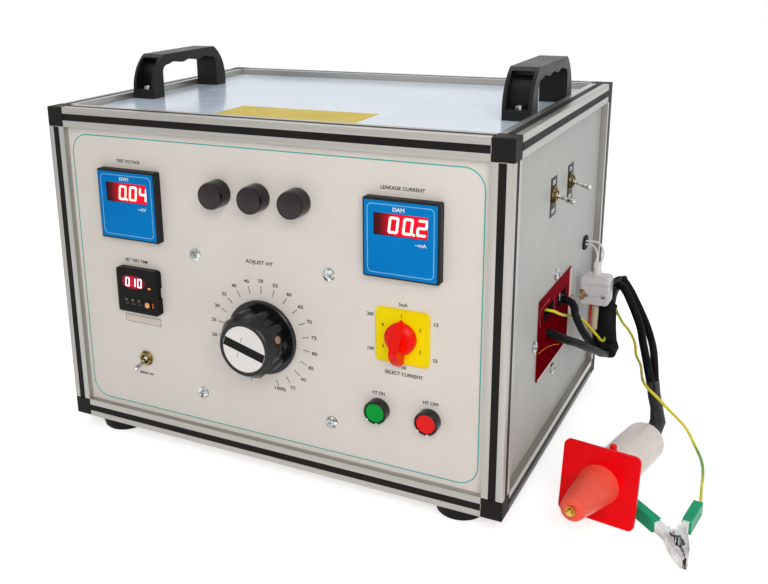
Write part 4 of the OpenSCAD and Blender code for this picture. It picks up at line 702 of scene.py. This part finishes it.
def run_length(obj):
    """The length of a cable's line as it is drawn."""
    plain = obj.data.copy()
    plain.bevel_depth = 0
    probe = scene_object("probe", plain)
    bpy.context.view_layer.update()
    mesh = probe.evaluated_get(bpy.context.evaluated_depsgraph_get()).to_mesh()
    ends = ([mesh.vertices[i].co for i in edge.vertices] for edge in mesh.edges)
    total = sum((one - other).length for one, other in ends)
    bpy.data.objects.remove(probe)
    bpy.data.curves.remove(plain)
    return total


HV_ROUTE = [
    (471.4, 146, 126.2), (486.4, 146, 126.2), (491, 147.5, 124.5), (500, 157, 117.5), (507.5, 177.5, 107),
    (512, 200, 95), (516, 225.5, 82), (518.5, 251, 69), (519.5, 270.5, 62.5), (519.5, 282, 62.5),
    (517.5, 291, 69), (516, 294, 80), (515, 294.5, 93.5), (514, 299, 105), (515, 301.5, 117), (519, 298, 128),
    (525, 292.5, 134), (531.5, 287, 130.5), (538, 285, 120), (545, 282.5, 107), (552, 275, 95),
    (558, 260.5, 84.5), (564, 246, 75), (569, 236, 64.5), (573, 232.5, 51), (576, 231, 37.5),
    (579, 230.5, 26), (580.5, 226, 16.5), (580, 216, 11), (578.2, 204.2, 10.1), (577.1, 196.3, 11),
]
CONTROL_ROUTE = [
    (479.4, 199, 143), (487.4, 199, 143), (491.5, 199.5, 142.5), (496, 204.5, 136), (495.5, 216, 123),
    (497.5, 230, 106), (501, 244, 89.5), (505, 259.5, 75), (508.5, 275.5, 65.5), (508.5, 291, 64.5),
    (506.5, 300.5, 72), (506, 303, 85.5), (506, 305, 98.5), (507, 311, 109.5), (511, 312.5, 122),
    (517.5, 309, 132.5), (525, 304.5, 136), (533.5, 301, 128.5), (541, 299.5, 116.5), (548, 300, 103),
    (554.5, 299.5, 90), (560.5, 293.5, 78.5), (566.5, 278, 71), (571, 260, 64.5), (574.5, 247, 54),
    (577, 241.5, 41), (580, 241, 26), (583.5, 233.5, 10.5), (582, 222.5, 3), (580, 212, 1), (578.1, 203.1, 1),
    (576.9, 195.3, 1.9),
]
EARTH_ROUTE = [
    (471.4, 154, 146.2), (486.4, 154, 146.2), (490, 168, 139), (489, 220.5, 118), (491.5, 229, 115),
    (495, 236, 111), (500.5, 239.5, 106.5), (505.5, 244.5, 98.5), (511.5, 253.5, 87.5), (514, 265, 78),
    (515.5, 273, 75.5), (514, 282, 82), (513.5, 286.5, 94), (514, 289, 103), (516.5, 291, 109),
    (520, 290.5, 109.5), (524, 289.5, 104), (530, 290.5, 93), (537.5, 297.5, 80), (543.5, 299, 67.5),
    (547.5, 289.5, 57.5), (555, 273.5, 54.5), (560.5, 250.5, 54), (565.5, 231.5, 54), (572.5, 218.5, 53),
    (582, 213.5, 48), (592, 217.5, 36.5), (601, 228.5, 22), (611.5, 237, 6), (620.5, 232, -6.5),
    (630, 211, -11), (635, 182, -11), (637, 155, -9), (639, 133, -7), (639.9, 121, -6.5),
    (638.9, 113.1, -6.5),
]
WHITE_ROUTES = [
    [(472.4, 296, 178.3), (486.4, 296, 178.3), (493, 296.3, 178.6), (499.8, 295.4, 176.8),
     (504.5, 292.7, 170.6), (505.2, 288, 162), (503, 281.4, 154.3), (505, 279.4, 151.3), (505, 279.4, 147.3)],
    [(472.4, 296, 174.5), (485.4, 296, 174.5), (491, 296.2, 174.4), (496.3, 293.1, 171.4),
     (499.7, 288.3, 163.9), (499, 281.4, 156.3), (501, 279.4, 151.3), (501, 279.4, 147.3)],
]
BEIGE_ROUTE = [(503, 277.4, 116.3), (503, 277.4, 112.3), (504, 274, 104), (505, 268, 95), (506.5, 262, 87)]

hv_cable = cable("hv_lead", HV_ROUTE, 8.5, "cable_jacket")
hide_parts("hv_cable")
run_length(hv_cable)
control_cable = cable("control_lead", CONTROL_ROUTE, 8.0, "cable_jacket")
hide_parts("control_cable")
run_length(control_cable)
earth_wire = cable("earth_lead", EARTH_ROUTE, 3.0, "earth_jacket")
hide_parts("earth_wire")
run_length(earth_wire)
for number, route in enumerate(WHITE_ROUTES, 1):
    wire = cable(f"white_wire_{number}", route, 2.4, "white_wire", sides=3)
    if number == 1:
        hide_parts("signal_wires")
    run_length(wire)
beige_wire = cable("beige_wire", BEIGE_ROUTE, 2.4, "beige_sleeve", sides=3)
run_length(beige_wire)

# Printing, labels and small parts on the front


def middle_of(face, name):
    low, high = node_in(face, name)
    return (low + high) / 2


def front_of(face, name):
    """The middle of a node's front."""
    middle = middle_of(face, name)
    return middle.x, middle.y, node_in(face, name)[1].z


def fitted(text, width, height, bold=0.0):
    """Lettering stretched to the width that it has on the object."""
    bm = letters(text, height, bold)
    xs = [v.co.x for v in bm.verts]
    bm.transform(Matrix.Diagonal((width / (max(xs) - min(xs)), 1, 1, 1)))
    return bm


SEGMENTS = {"0": "abcdef", "1": "bc", "2": "abged", "4": "fgbc"}


def lit_digit(char, w, h, stroke, slant=0.12):
    """A seven-segment figure of rounded bars, centred on the origin."""
    side, level = (w - stroke) / 2, (h - stroke) / 2
    across, upright = (w - stroke * 0.6, stroke), (stroke, h / 2 - stroke * 0.2)
    bars = {"a": (0, level, across), "g": (0, 0, across), "d": (0, -level, across),
            "b": (side, level / 2, upright), "c": (side, -level / 2, upright),
            "e": (-side, -level / 2, upright), "f": (-side, level / 2, upright)}
    bm = bmesh.new()
    for key in SEGMENTS[char]:
        x, y, size = bars[key]
        add(bm, slab(*size, INK, stroke * 0.49, steps=3), at(x, y))
    shear = Matrix.Identity(4)
    shear[0][1] = slant
    bm.transform(shear)
    return bm


meter_low, meter_high = node_in(FRONT, "meter_housings")
meter_y = middle_of(FRONT, "meter_housings").y
meter_side = meter_high.y - meter_low.y
METERS = [(meter_low.x + meter_side / 2, meter_y), (meter_high.x - meter_side / 2, meter_y)]
window_front = node_in(FRONT, "display_windows")[1].z
METER_RIM, SHEET_GAP, SHEET_T = 2.0, 0.05, 0.9


def meter_face():
    """The printed sheet in the bezel, with its hole over the display."""
    half = meter_side / 2 - METER_RIM - SHEET_GAP
    xs = [-half, -WINDOW_W / 2, WINDOW_W / 2, half]
    ys = [-half, WINDOW_UP - WINDOW_H / 2, WINDOW_UP + WINDOW_H / 2, half]
    bm = bmesh.new()
    bmesh.ops.create_grid(bm, x_segments=3, y_segments=3, size=1.5)
    for vert in bm.verts:
        vert.co.x, vert.co.y = xs[round(vert.co.x + 1.5)], ys[round(vert.co.y + 1.5)]
    hole_at = Vector((0, WINDOW_UP, 0))
    hole = [f for f in bm.faces if (f.calc_center_median() - hole_at).length < 1]
    bmesh.ops.delete(bm, geom=hole, context="FACES")
    raise_faces(bm, SHEET_T)
    return bm


# Each meter's kind, unit and figures, the figures' places, and the one that the point follows.
# Print is placed from the meter's middle, and figures from the window's middle.
READINGS = [("DVM", "~kV", "004", (-4.9, 8.0, 20.4), 0), ("DAM", "~mA", "002", (-6.6, 6.8, 19.8), 1)]
LINE_SIDE, LINE_R, LINE_W = 62.6, 4.5, 0.7
KIND_AT, UNIT_AT, FIGURES_UP = (-1.5, 27.2), (19.0, -1.8), -0.2
POINT_R, POINT_ON, POINT_UP = 1.25, 5.2, -6.9
FIGURE_W, FIGURE_H, FIGURE_STROKE = 9.6, 15.2, 2.3
face_z = window_front + SHEET_T
faces, lines, white_print, digits = bmesh.new(), bmesh.new(), bmesh.new(), bmesh.new()
for (x, y), (kind, unit, figures, places, pointed) in zip(METERS, READINGS):
    add(faces, meter_face(), at(x, y, window_front))
    add(lines, ring_plate(LINE_SIDE, LINE_SIDE, LINE_R, LINE_W, INK, z=face_z), at(x, y))
    add(white_print, fitted(kind, 11.0, 3.4, 0.16), at(x + KIND_AT[0], y + KIND_AT[1], face_z))
    add(white_print, fitted(unit, 10.5, 3.2, 0.12), at(x + UNIT_AT[0], y + UNIT_AT[1], face_z))
    window_y = y + WINDOW_UP
    for char, across in zip(figures, places):
        figure = lit_digit(char, FIGURE_W, FIGURE_H, FIGURE_STROKE)
        add(digits, figure, at(x + across, window_y + FIGURES_UP, window_front))
    point_at = at(x + places[pointed] + POINT_ON, window_y + POINT_UP, window_front)
    add(digits, disc(POINT_R, 0, INK, 16), point_at)
put("meter_faces", faces, FRONT, "meter_blue")
put("meter_face_lines", lines, FRONT, "pale_blue")
put("meter_face_print", white_print, FRONT, "printed_white")
put("meter_digits", digits, FRONT, "digit_glow")

counter_x, counter_y, counter_front = front_of(FRONT, "counter_housing")
counter_digits = bmesh.new()
for char, across in (("0", -11.0), ("1", -3.4), ("0", 4.4)):
    figure_at = at(counter_x + across, counter_y + 9.6, counter_front)
    add(counter_digits, lit_digit(char, 5.6, 10.0, 1.45, 0.06), figure_at)
put("counter_digits", counter_digits, FRONT, "counter_glow")
signal_at = on(FRONT, counter_x + 16.3, counter_y + 5.4, counter_front)
put("counter_signal", slab(3.0, 1.5, 0.25, 0.4, bevel=0.1), signal_at, "key_orange")
MARK_T = 0.15
reset_x, reset_y, reset_front = front_of(FRONT, "reset_key")
reset_at = on(FRONT, reset_x, reset_y, reset_front)
# The reset key's orange ring glows as painted light: no lamp is behind it
reset_ring = ring_plate(5.0, 5.0, 2.4, 0.9, MARK_T)
put("reset_mark", reset_ring, reset_at, "key_orange", body="reset_key")
put("reset_centre", disc(1.0, 0, MARK_T, 16), reset_at, "sticker_white", body="reset_key")
caption_at = on(FRONT, reset_x + 6.2, reset_y, counter_front, 90)
put("reset_caption", fitted("RST", 5.0, 1.7, 0.06), caption_at, "printed_orange")
for number in (1, 2, 3):
    key = f"setting_key_{number}"
    key_x, key_y, key_front = front_of(FRONT, key)
    put(f"setting_mark_{number}", slab(1.2, 2.6, 0.12, 0.3), on(FRONT, key_x, key_y, key_front), "mark_grey",
        body=key)
    put(f"setting_line_{number}", slab(3.6, 0.5, INK, 0.1, steps=1),
        on(FRONT, key_x, key_y - 4.6, counter_front), "mark_grey")
STICKER_W, STICKER_H, STICKER_LINE = 45.0, 7.4, 0.35
sticker_at = on(FRONT, 99.0, 124.6)
sticker = slab(STICKER_W, STICKER_H, INK, 0.2, steps=1)
put("counter_sticker", sticker, sticker_at, "sticker_white")
sticker_edge = ring_plate(STICKER_W + 0.4, STICKER_H + 0.4, 0.3, STICKER_LINE, INK * 1.6, steps=2)
put("counter_sticker_edge", sticker_edge, sticker_at, "printed_black")

BORDER_W, BORDER_H, BORDER_R, BORDER_LINE = 441.2, 292.2, 20.0, 1.1
put("border_line", ring_plate(BORDER_W, BORDER_H, BORDER_R, BORDER_LINE, INK, steps=8),
    on(FRONT, 244.5, 171.0), "printed_teal")

# The captions, with the middle, width and height of each, and the dial's scale of 21 steps
dial_x, dial_y, disc_front = front_of(FRONT, "dial_disc")
ZERO_ANGLE, STEP_ANGLE, LAST_STEP = 252.3, -16.23, 20
TICK_R, FIGURE_R, LOW_FIGURE_R = 48.2, 57.2, 44.0
CAPTIONS = [
    ("TEST VOLTAGE", 95.0, 292.6, 29.0, 3.0), ("SET TEST TIME", 96.0, 189.0, 29.0, 3.0),
    ("LEAKAGE CURRENT", 391.0, 293.0, 41.3, 3.1), ("ADJUST HT", 244.0, 207.0, 30.5, 3.5),
    ("MAINS ON", 98.0, 64.0, 17.5, 2.6), ("SELECT CURRENT", 393.0, 121.0, 37.0, 3.3),
    ("HT ON", 368.0, 97.6, 12.4, 3.1), ("HT OFF", 419.0, 97.8, 15.0, 3.1),
    ("5mA", 392.0, 187.7, 8.4, 3.1), ("15", 423.0, 174.0, 4.2, 3.1), ("25", 423.0, 140.0, 4.6, 3.1),
    ("50", 393.0, 127.6, 4.6, 3.1), ("100", 360.0, 141.0, 6.4, 3.1), ("200", 360.0, 174.5, 6.6, 3.1),
]
panel_print = bmesh.new()
for text, x, y, width, height in CAPTIONS:
    add(panel_print, fitted(text, width, height, 0.09), at(x, y))
for step in range(LAST_STEP + 1):
    spoke = at(dial_x, dial_y, 0, ZERO_ANGLE + step * STEP_ANGLE)
    add(panel_print, slab(7.2, 0.7, INK, 0.1, steps=1), spoke @ at(TICK_R, 0))
    text = f"{step * 5}%" if step == LAST_STEP else str(step * 5)
    label = spoke @ Vector((FIGURE_R if step > 3 else LOW_FIGURE_R, 0, 0))
    width, beside, above = (12.5, -0.3, 3.0) if step == LAST_STEP else (2.8 * len(text), 0, 0)
    figure = fitted(text, width, 3.3, 0.04 if "9" in text else 0.09)
    add(panel_print, figure, at(label.x + beside, label.y + above))
put("panel_print", panel_print, FRONT, "printed_black")

BAND_W, BAND_H, BAND_ANGLE = 45.3, 9.0, -16
SCREW_R, SCREW_UP, SCREW_ANGLE = 3.8, 20.5, 18
band = slab(BAND_W, BAND_H, INK, 0.2, steps=1)
for side in (-1, 1):
    add(band, slab(5.0, 0.5, INK, 0.1, steps=1), at(-5.0, 0) @ turned(90, "Z") @ at(side * 8.4, 0))
band_at = on(FRONT, dial_x, dial_y, disc_front, BAND_ANGLE)
put("dial_band", band, band_at, "printed_black", body="dial")
screw_at = on(FRONT, dial_x, dial_y, SCREW_UP, SCREW_ANGLE) @ turned(90, "Y")
put("dial_grub_screw", disc(SCREW_R, 25.0, 31.2, 24, bevel=0.5), screw_at, "grub_brass", body="dial")

plate_x, plate_y, plate_front = front_of(FRONT, "selector_plate")
POSITIONS, NUMERAL_R = 6, 20.6
numerals = bmesh.new()
for number in range(POSITIONS):
    angle = radians(90 - 360 / POSITIONS * number)
    add(numerals, letters(str(number + 1), 3.2, 0.08), at(NUMERAL_R * cos(angle), NUMERAL_R * sin(angle)))
field = slab(44.0, 44.0, 0.25, 3.0, bevel=0.1)
put("selector_field", field, on(FRONT, plate_x, plate_y, plate_front), "plate_field")
numerals_at = on(FRONT, plate_x, plate_y, plate_front + 0.2)
put("selector_numerals", numerals, numerals_at, "printed_brown")

button_low, button_high = node_in(FRONT, "button_housings")
button_r = (button_high.y - button_low.y) / 2
# Painted highlights: a white mark in two notches on each button's bezel, where the light catches them
NOTCH_W, NOTCH_H, NOTCH_ANGLES = 1.3, 2.0, (226, 280)
notch_glints = bmesh.new()
for button in ("start_button", "stop_button"):
    button_x, button_y = middle_of(FRONT, button).xy
    for angle in NOTCH_ANGLES:
        notch_at = at(button_x, button_y, button_high.z, angle) @ at(button_r - NOTCH_H / 2, 0)
        add(notch_glints, slab(NOTCH_W, NOTCH_H, INK, 0.3, steps=2), notch_at)
put("button_notch_glints", notch_glints, FRONT, "disc_white")

# Right side: the switches' plates, and the edges and lines on the terminal plate
SWITCHES = [(149.0, 264.0), (212.0, 264.0)]
SWITCH_PLATE_W, SWITCH_PLATE_H, SWITCH_PLATE_T = 23.0, 38.5, 0.5
plates, plate_rims, words = bmesh.new(), bmesh.new(), bmesh.new()
PLATE_UP, ON_UP, OFF_UP = -1.7, 12.3, -15.9
for x, y in SWITCHES:
    add(plates, slab(SWITCH_PLATE_W, SWITCH_PLATE_H, SWITCH_PLATE_T, 1.0, bevel=0.15), at(x, y + PLATE_UP))
    plate_rim = ring_plate(SWITCH_PLATE_W + 0.8, SWITCH_PLATE_H + 0.8, 1.2, 0.5, 0.4, steps=2)
    add(plate_rims, plate_rim, at(x, y + PLATE_UP))
    add(words, fitted("ON", 8.0, 4.2, 0.2), at(x, y + ON_UP, SWITCH_PLATE_T))
    add(words, fitted("OFF", 11.0, 4.2, 0.2), at(x, y + OFF_UP, SWITCH_PLATE_T))
put("switch_plates", plates, RIGHT, "counter_black")
put("switch_plate_rims", plate_rims, RIGHT, "plate_border")
put("switch_words", words, RIGHT, "printed_white")

low, high = node_in(RIGHT, "terminal_plate")


def stroke(points, width, z):
    """A thin printed line through the points of a face."""
    bm = bmesh.new()
    for (x0, y0), (x1, y1) in zip(points, points[1:]):
        run = Vector((x1 - x0, y1 - y0))
        add(bm, slab(run.length + width, width, INK, width * 0.3, steps=1),
            at((x0 + x1) / 2, (y0 + y1) / 2, z, degrees(atan2(run.y, run.x))))
    return bm


REAR_STRIP_W, LOW_STRIP_H, FINE_LINE_W = 9.5, 2.6, 0.8
edges = slab(REAR_STRIP_W, high.y - low.y - 0.6, INK, 0.2, steps=1, z=high.z)
bmesh.ops.translate(edges, verts=edges.verts, vec=(high.x - 5.0, (low.y + high.y) / 2, 0))
low_strip = slab(high.x - low.x - 10.0, LOW_STRIP_H, INK, 0.2, steps=1, z=high.z)
add(edges, low_strip, at((low.x + high.x) / 2 - 4.8, low.y + 1.6))
put("terminal_plate_edges", edges, RIGHT, "plate_border")
CORNER_LINE = [(148.4, 160.3), (130.5, 160.2), (116.8, 158.8), (115.6, 151.2), (115.9, 143.0)]
SHORT_LINE = [(165.3, 156.7), (168.0, 142.0)]
ORANGE_CURVE = [(114, 116), (128, 114), (147, 110.5), (170.5, 103.8), (195.5, 95)]
fine = stroke(CORNER_LINE, FINE_LINE_W, high.z)
add(fine, stroke(SHORT_LINE, FINE_LINE_W, high.z))
put("terminal_plate_lines", fine, RIGHT, "plate_line")
curve = stroke(ORANGE_CURVE, FINE_LINE_W, high.z)
put("terminal_plate_curve", curve, RIGHT, "printed_orange")
tab_at = on(RIGHT, 186.4, 150.0, high.z)
put("terminal_plate_tab", slab(2.0, 8.0, 0.6, 0.4, bevel=0.1), tab_at, "zinc_plate")

LABEL_W, LABEL_D, LABEL_T = 155.0, 58.0, 0.15
put("top_label", slab(LABEL_W, LABEL_D, LABEL_T, 1.0), on(TOP, 245.5, 79.0), "label_yellow")

# Coverings on the cables


def ring_edges(ring):
    return {e for v in ring for e in v.link_edges if e.other_vert(v) in ring}


def covering(rows, steps=24, lobes=0.0):
    """A tube of oval rings. Each row is a point, the way across it, half width and half thickness."""
    bm = bmesh.new()
    points = [Vector(row[0]) for row in rows]
    rings = []
    for i, (point, way, half_w, half_t) in enumerate(rows):
        onward = (points[min(i + 1, len(points) - 1)] - points[max(i - 1, 0)]).normalized()
        across = (Vector(way) - onward * Vector(way).dot(onward)).normalized()
        verts = bmesh.ops.create_circle(bm, segments=steps, radius=1.0)["verts"]
        for vert in verts:
            vert.co *= 1 + lobes * cos(3 * atan2(vert.co.y, vert.co.x) + 0.5)
        axes = Matrix((across * half_w, onward.cross(across) * half_t, onward)).transposed().to_4x4()
        bmesh.ops.transform(bm, matrix=Matrix.Translation(point) @ axes, verts=verts)
        rings.append(verts)
    for one, two in zip(rings, rings[1:]):
        bmesh.ops.bridge_loops(bm, edges=list(ring_edges(one) | ring_edges(two)))
    for ring in (rings[0], rings[-1]):
        bmesh.ops.contextual_create(bm, geom=list(ring_edges(ring)))
    return bm


THICKER_LEAD_R = 4.25


def round_both(sizes, first_knot, spare=0.7):
    """Rows of a covering round the gun's two cables: half thickness and shift of each row, knot by knot."""
    rows = []
    for knot, (half_t, shift) in enumerate(sizes, first_knot):
        one, other = Vector(HV_ROUTE[knot]), Vector(CONTROL_ROUTE[knot])
        half_w = (one - other).length / 2 + THICKER_LEAD_R + spare
        rows.append(((one + other) / 2 + Vector(shift), one - other, half_w, half_t))
    return rows


WRAP = [(7.0, (0.3, -0.5, 0)), (9.2, (0.2, -2.6, -1)), (10.4, (1.2, -7.8, 0.8)), (10.8, (0.8, -9.6, 0.6)),
        (10.6, (0, -8.4, 0)), (9.8, (-0.2, -6.2, -1.5))]
TUBE = [(6.6, (0, 0, 0)), (5.6, (1, 0, 0)), (5.4, (1.2, 0, 0)), (5.2, (0.8, 0, 0)), (5.0, (0, 0, 0))]
BOOT = [(5.2, (0, 0, 0)), (5.6, (0, 0, 0)), (5.9, (0.4, 0, 0)), (7.4, (1.2, 0, 0)), (7.2, (0.8, 0, 0)),
        (6.6, (0, 0, 0))]
for name, rows, finish in (("cable_wrap", round_both(WRAP, 8, 4.2), "woven_sleeve"),
                           ("cable_wrap_tube", round_both(TUBE, 12), "shrink_tube"),
                           ("cable_boot", round_both(BOOT, 24), "shrink_tube")):
    put(name, covering(rows, lobes=0.02), CASE, finish, smooth=60)


def wire_covering(name, rows, steps, finish):
    """A covering flat across the case. Each row is a point, half width and half thickness."""
    flat = [(point, (1, 0, 0), half_w, half_t) for point, half_w, half_t in rows]
    put(name, covering(flat, steps), CASE, finish, smooth=60)


FERRULE = [((503, 279.4, 147.4), 4.3, 3.0), ((503, 279.4, 151.3), 4.2, 2.9), ((502, 281.4, 155.3), 3.9, 2.5),
           ((502.3, 284.8, 159.4), 3.4, 2.1)]
BRAID = [((503, 277.4, 116.2), 4.0, 2.8), ((503, 277, 112), 3.9, 2.8), ((504, 274, 104), 3.5, 2.6),
         ((505, 268, 95), 3.2, 2.5), ((506, 264, 89.5), 3.0, 2.4)]
wire_covering("wire_ferrule", FERRULE, 16, "white_wire")
wire_covering("wire_braid", BRAID, 16, "beige_sleeve")

# The gun's guard: a square flange with a cone that is slimmer than its CAD solid
FLANGE_SIDE, FLANGE_T, FLANGE_R = 70.0, 3.0, 6.0
CONE_D, CONE_END_D, CONE_LEN, NOSE_ROUND = 38.0, 21.0, 66.0, 4.5
cone = disc(CONE_D / 2, -CONE_LEN, 0, 64, low_radius=CONE_END_D / 2)
round_rim(cone, -CONE_LEN, NOSE_ROUND, segments=6)
guard = slab(FLANGE_SIDE, FLANGE_SIDE, FLANGE_T, FLANGE_R, steps=8)
add(guard, cone)
add(guard, disc(CONE_D / 2 + 1.5, -0.8, 1.0, 64))
guard_piece = put("guard_and_cone", guard, GUN @ turned(-90, "X"), "red_guard_and_lit_cone")
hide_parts("gun_guard")

# The connector's two brass ends and the ribs on its front
RIBS, RIB_STEP = 7, 3.6
block_low, block_high = node_in(CASE, "terminal_block")
block_middle = (block_low + block_high) / 2
brass, ribs = bmesh.new(), bmesh.new()
for up in (-2.0, -8.6):
    end_at = at(block_low.x + 3.2, block_low.y + 0.9, block_middle.z + up) @ turned(90, "X")
    add(brass, disc(2.8, -1.0, 2.2, 20, bevel=0.5), end_at)
for step in range(1, RIBS + 1):
    rib = slab(block_high.x - block_low.x - 9, 0.9, 0.5, 0.3, steps=1)
    rib_at = at(block_middle.x + 3, block_low.y + 0.2, block_low.z + RIB_STEP * step)
    add(ribs, rib, rib_at @ turned(90, "X"))
put("block_terminals", brass, CASE, "old_brass")
put("block_ribs", ribs, CASE, "nylon_block")
RED_LEAD = [(498.6, 277, 115.6), (498.8, 274.5, 108), (499.4, 269, 99), (500.4, 263, 90)]
wire_covering("block_red_lead", [(point, 1.4, 1.4) for point in RED_LEAD], 12, "braid_red")

# Floor, backdrop and lights
FLOOR_HALF, FLOOR_GAP = 6.0, 0.0002
floor = bmesh.new()
bmesh.ops.create_grid(floor, x_segments=1, y_segments=1, size=FLOOR_HALF)
floor_mesh = mesh_of("studio_floor", floor)
floor_obj = scene_object("studio_floor", floor_mesh)
floor_obj.location.z = cad_box[0][2] - FLOOR_GAP


def seen_ray(tree):
    """1 for what the camera sees directly, in gloss or through glass."""
    rays = tree.nodes.new("ShaderNodeLightPath").outputs
    seen = maths(tree, "MAXIMUM", rays["Is Camera Ray"], rays["Is Glossy Ray"])
    return maths(tree, "MAXIMUM", seen, rays["Is Transmission Ray"])


def floor_finish():
    """Pale floor: it shows white to the camera and takes the object's shadow."""
    material, tree, shader, _ = new_finish("studio_floor")
    lift = blend_colours(tree, seen_ray(tree), (0, 0, 0, 1), (0.62, 0.62, 0.62, 1))
    dress(tree, shader, Base_Color=(0.90, 0.90, 0.91, 1), Roughness=0.9, Emission_Color=lift,
          Emission_Strength=1.0)
    return material


floor_mesh.materials.append(floor_finish())

case_middle = CASE @ Vector((case_w / 2, case_d / 2, case_h / 2))


def softbox(name, offset, width, height, watts, tint):
    """A soft light that looks at the middle of the case."""
    light = bpy.data.lights.new(name, "AREA")
    light.shape = "RECTANGLE"
    light.size, light.size_y = width, height
    light.energy = watts
    light.color = tint
    obj = scene_object(name, light)
    obj.location = case_middle + Vector(offset)
    obj.rotation_mode = "QUATERNION"
    obj.rotation_quaternion = (-Vector(offset)).to_track_quat("-Z", "Y")


softbox("key_light", (0.8, -1.3, 0.85), 1.1, 0.9, 12, (1.0, 0.96, 0.92))
softbox("top_light", (-0.5, 0.6, 1.9), 1.8, 1.6, 11, (0.88, 0.95, 1.0))
softbox("side_light", (2.2, 0.3, 0.9), 1.2, 1.2, 2.5, (1.0, 0.99, 0.95))

world = bpy.data.worlds.new("studio")
bpy.context.scene.world = world
world.use_nodes = True
tree = world.node_tree
sky, white = tree.nodes["Background"], tree.nodes.new("ShaderNodeBackground")
dress(tree, sky, Color=(0.95, 0.97, 1.0, 1), Strength=0.38)
dress(tree, white, Color=(1, 1, 1, 1))
choose = tree.nodes.new("ShaderNodeMixShader")
for socket, value in zip(choose.inputs, (seen_ray(tree), sky.outputs[0], white.outputs[0])):
    tree.links.new(value, socket)
tree.links.new(choose.outputs[0], tree.nodes["World Output"].inputs["Surface"])
bpy.context.scene.view_settings.view_transform = "Standard"
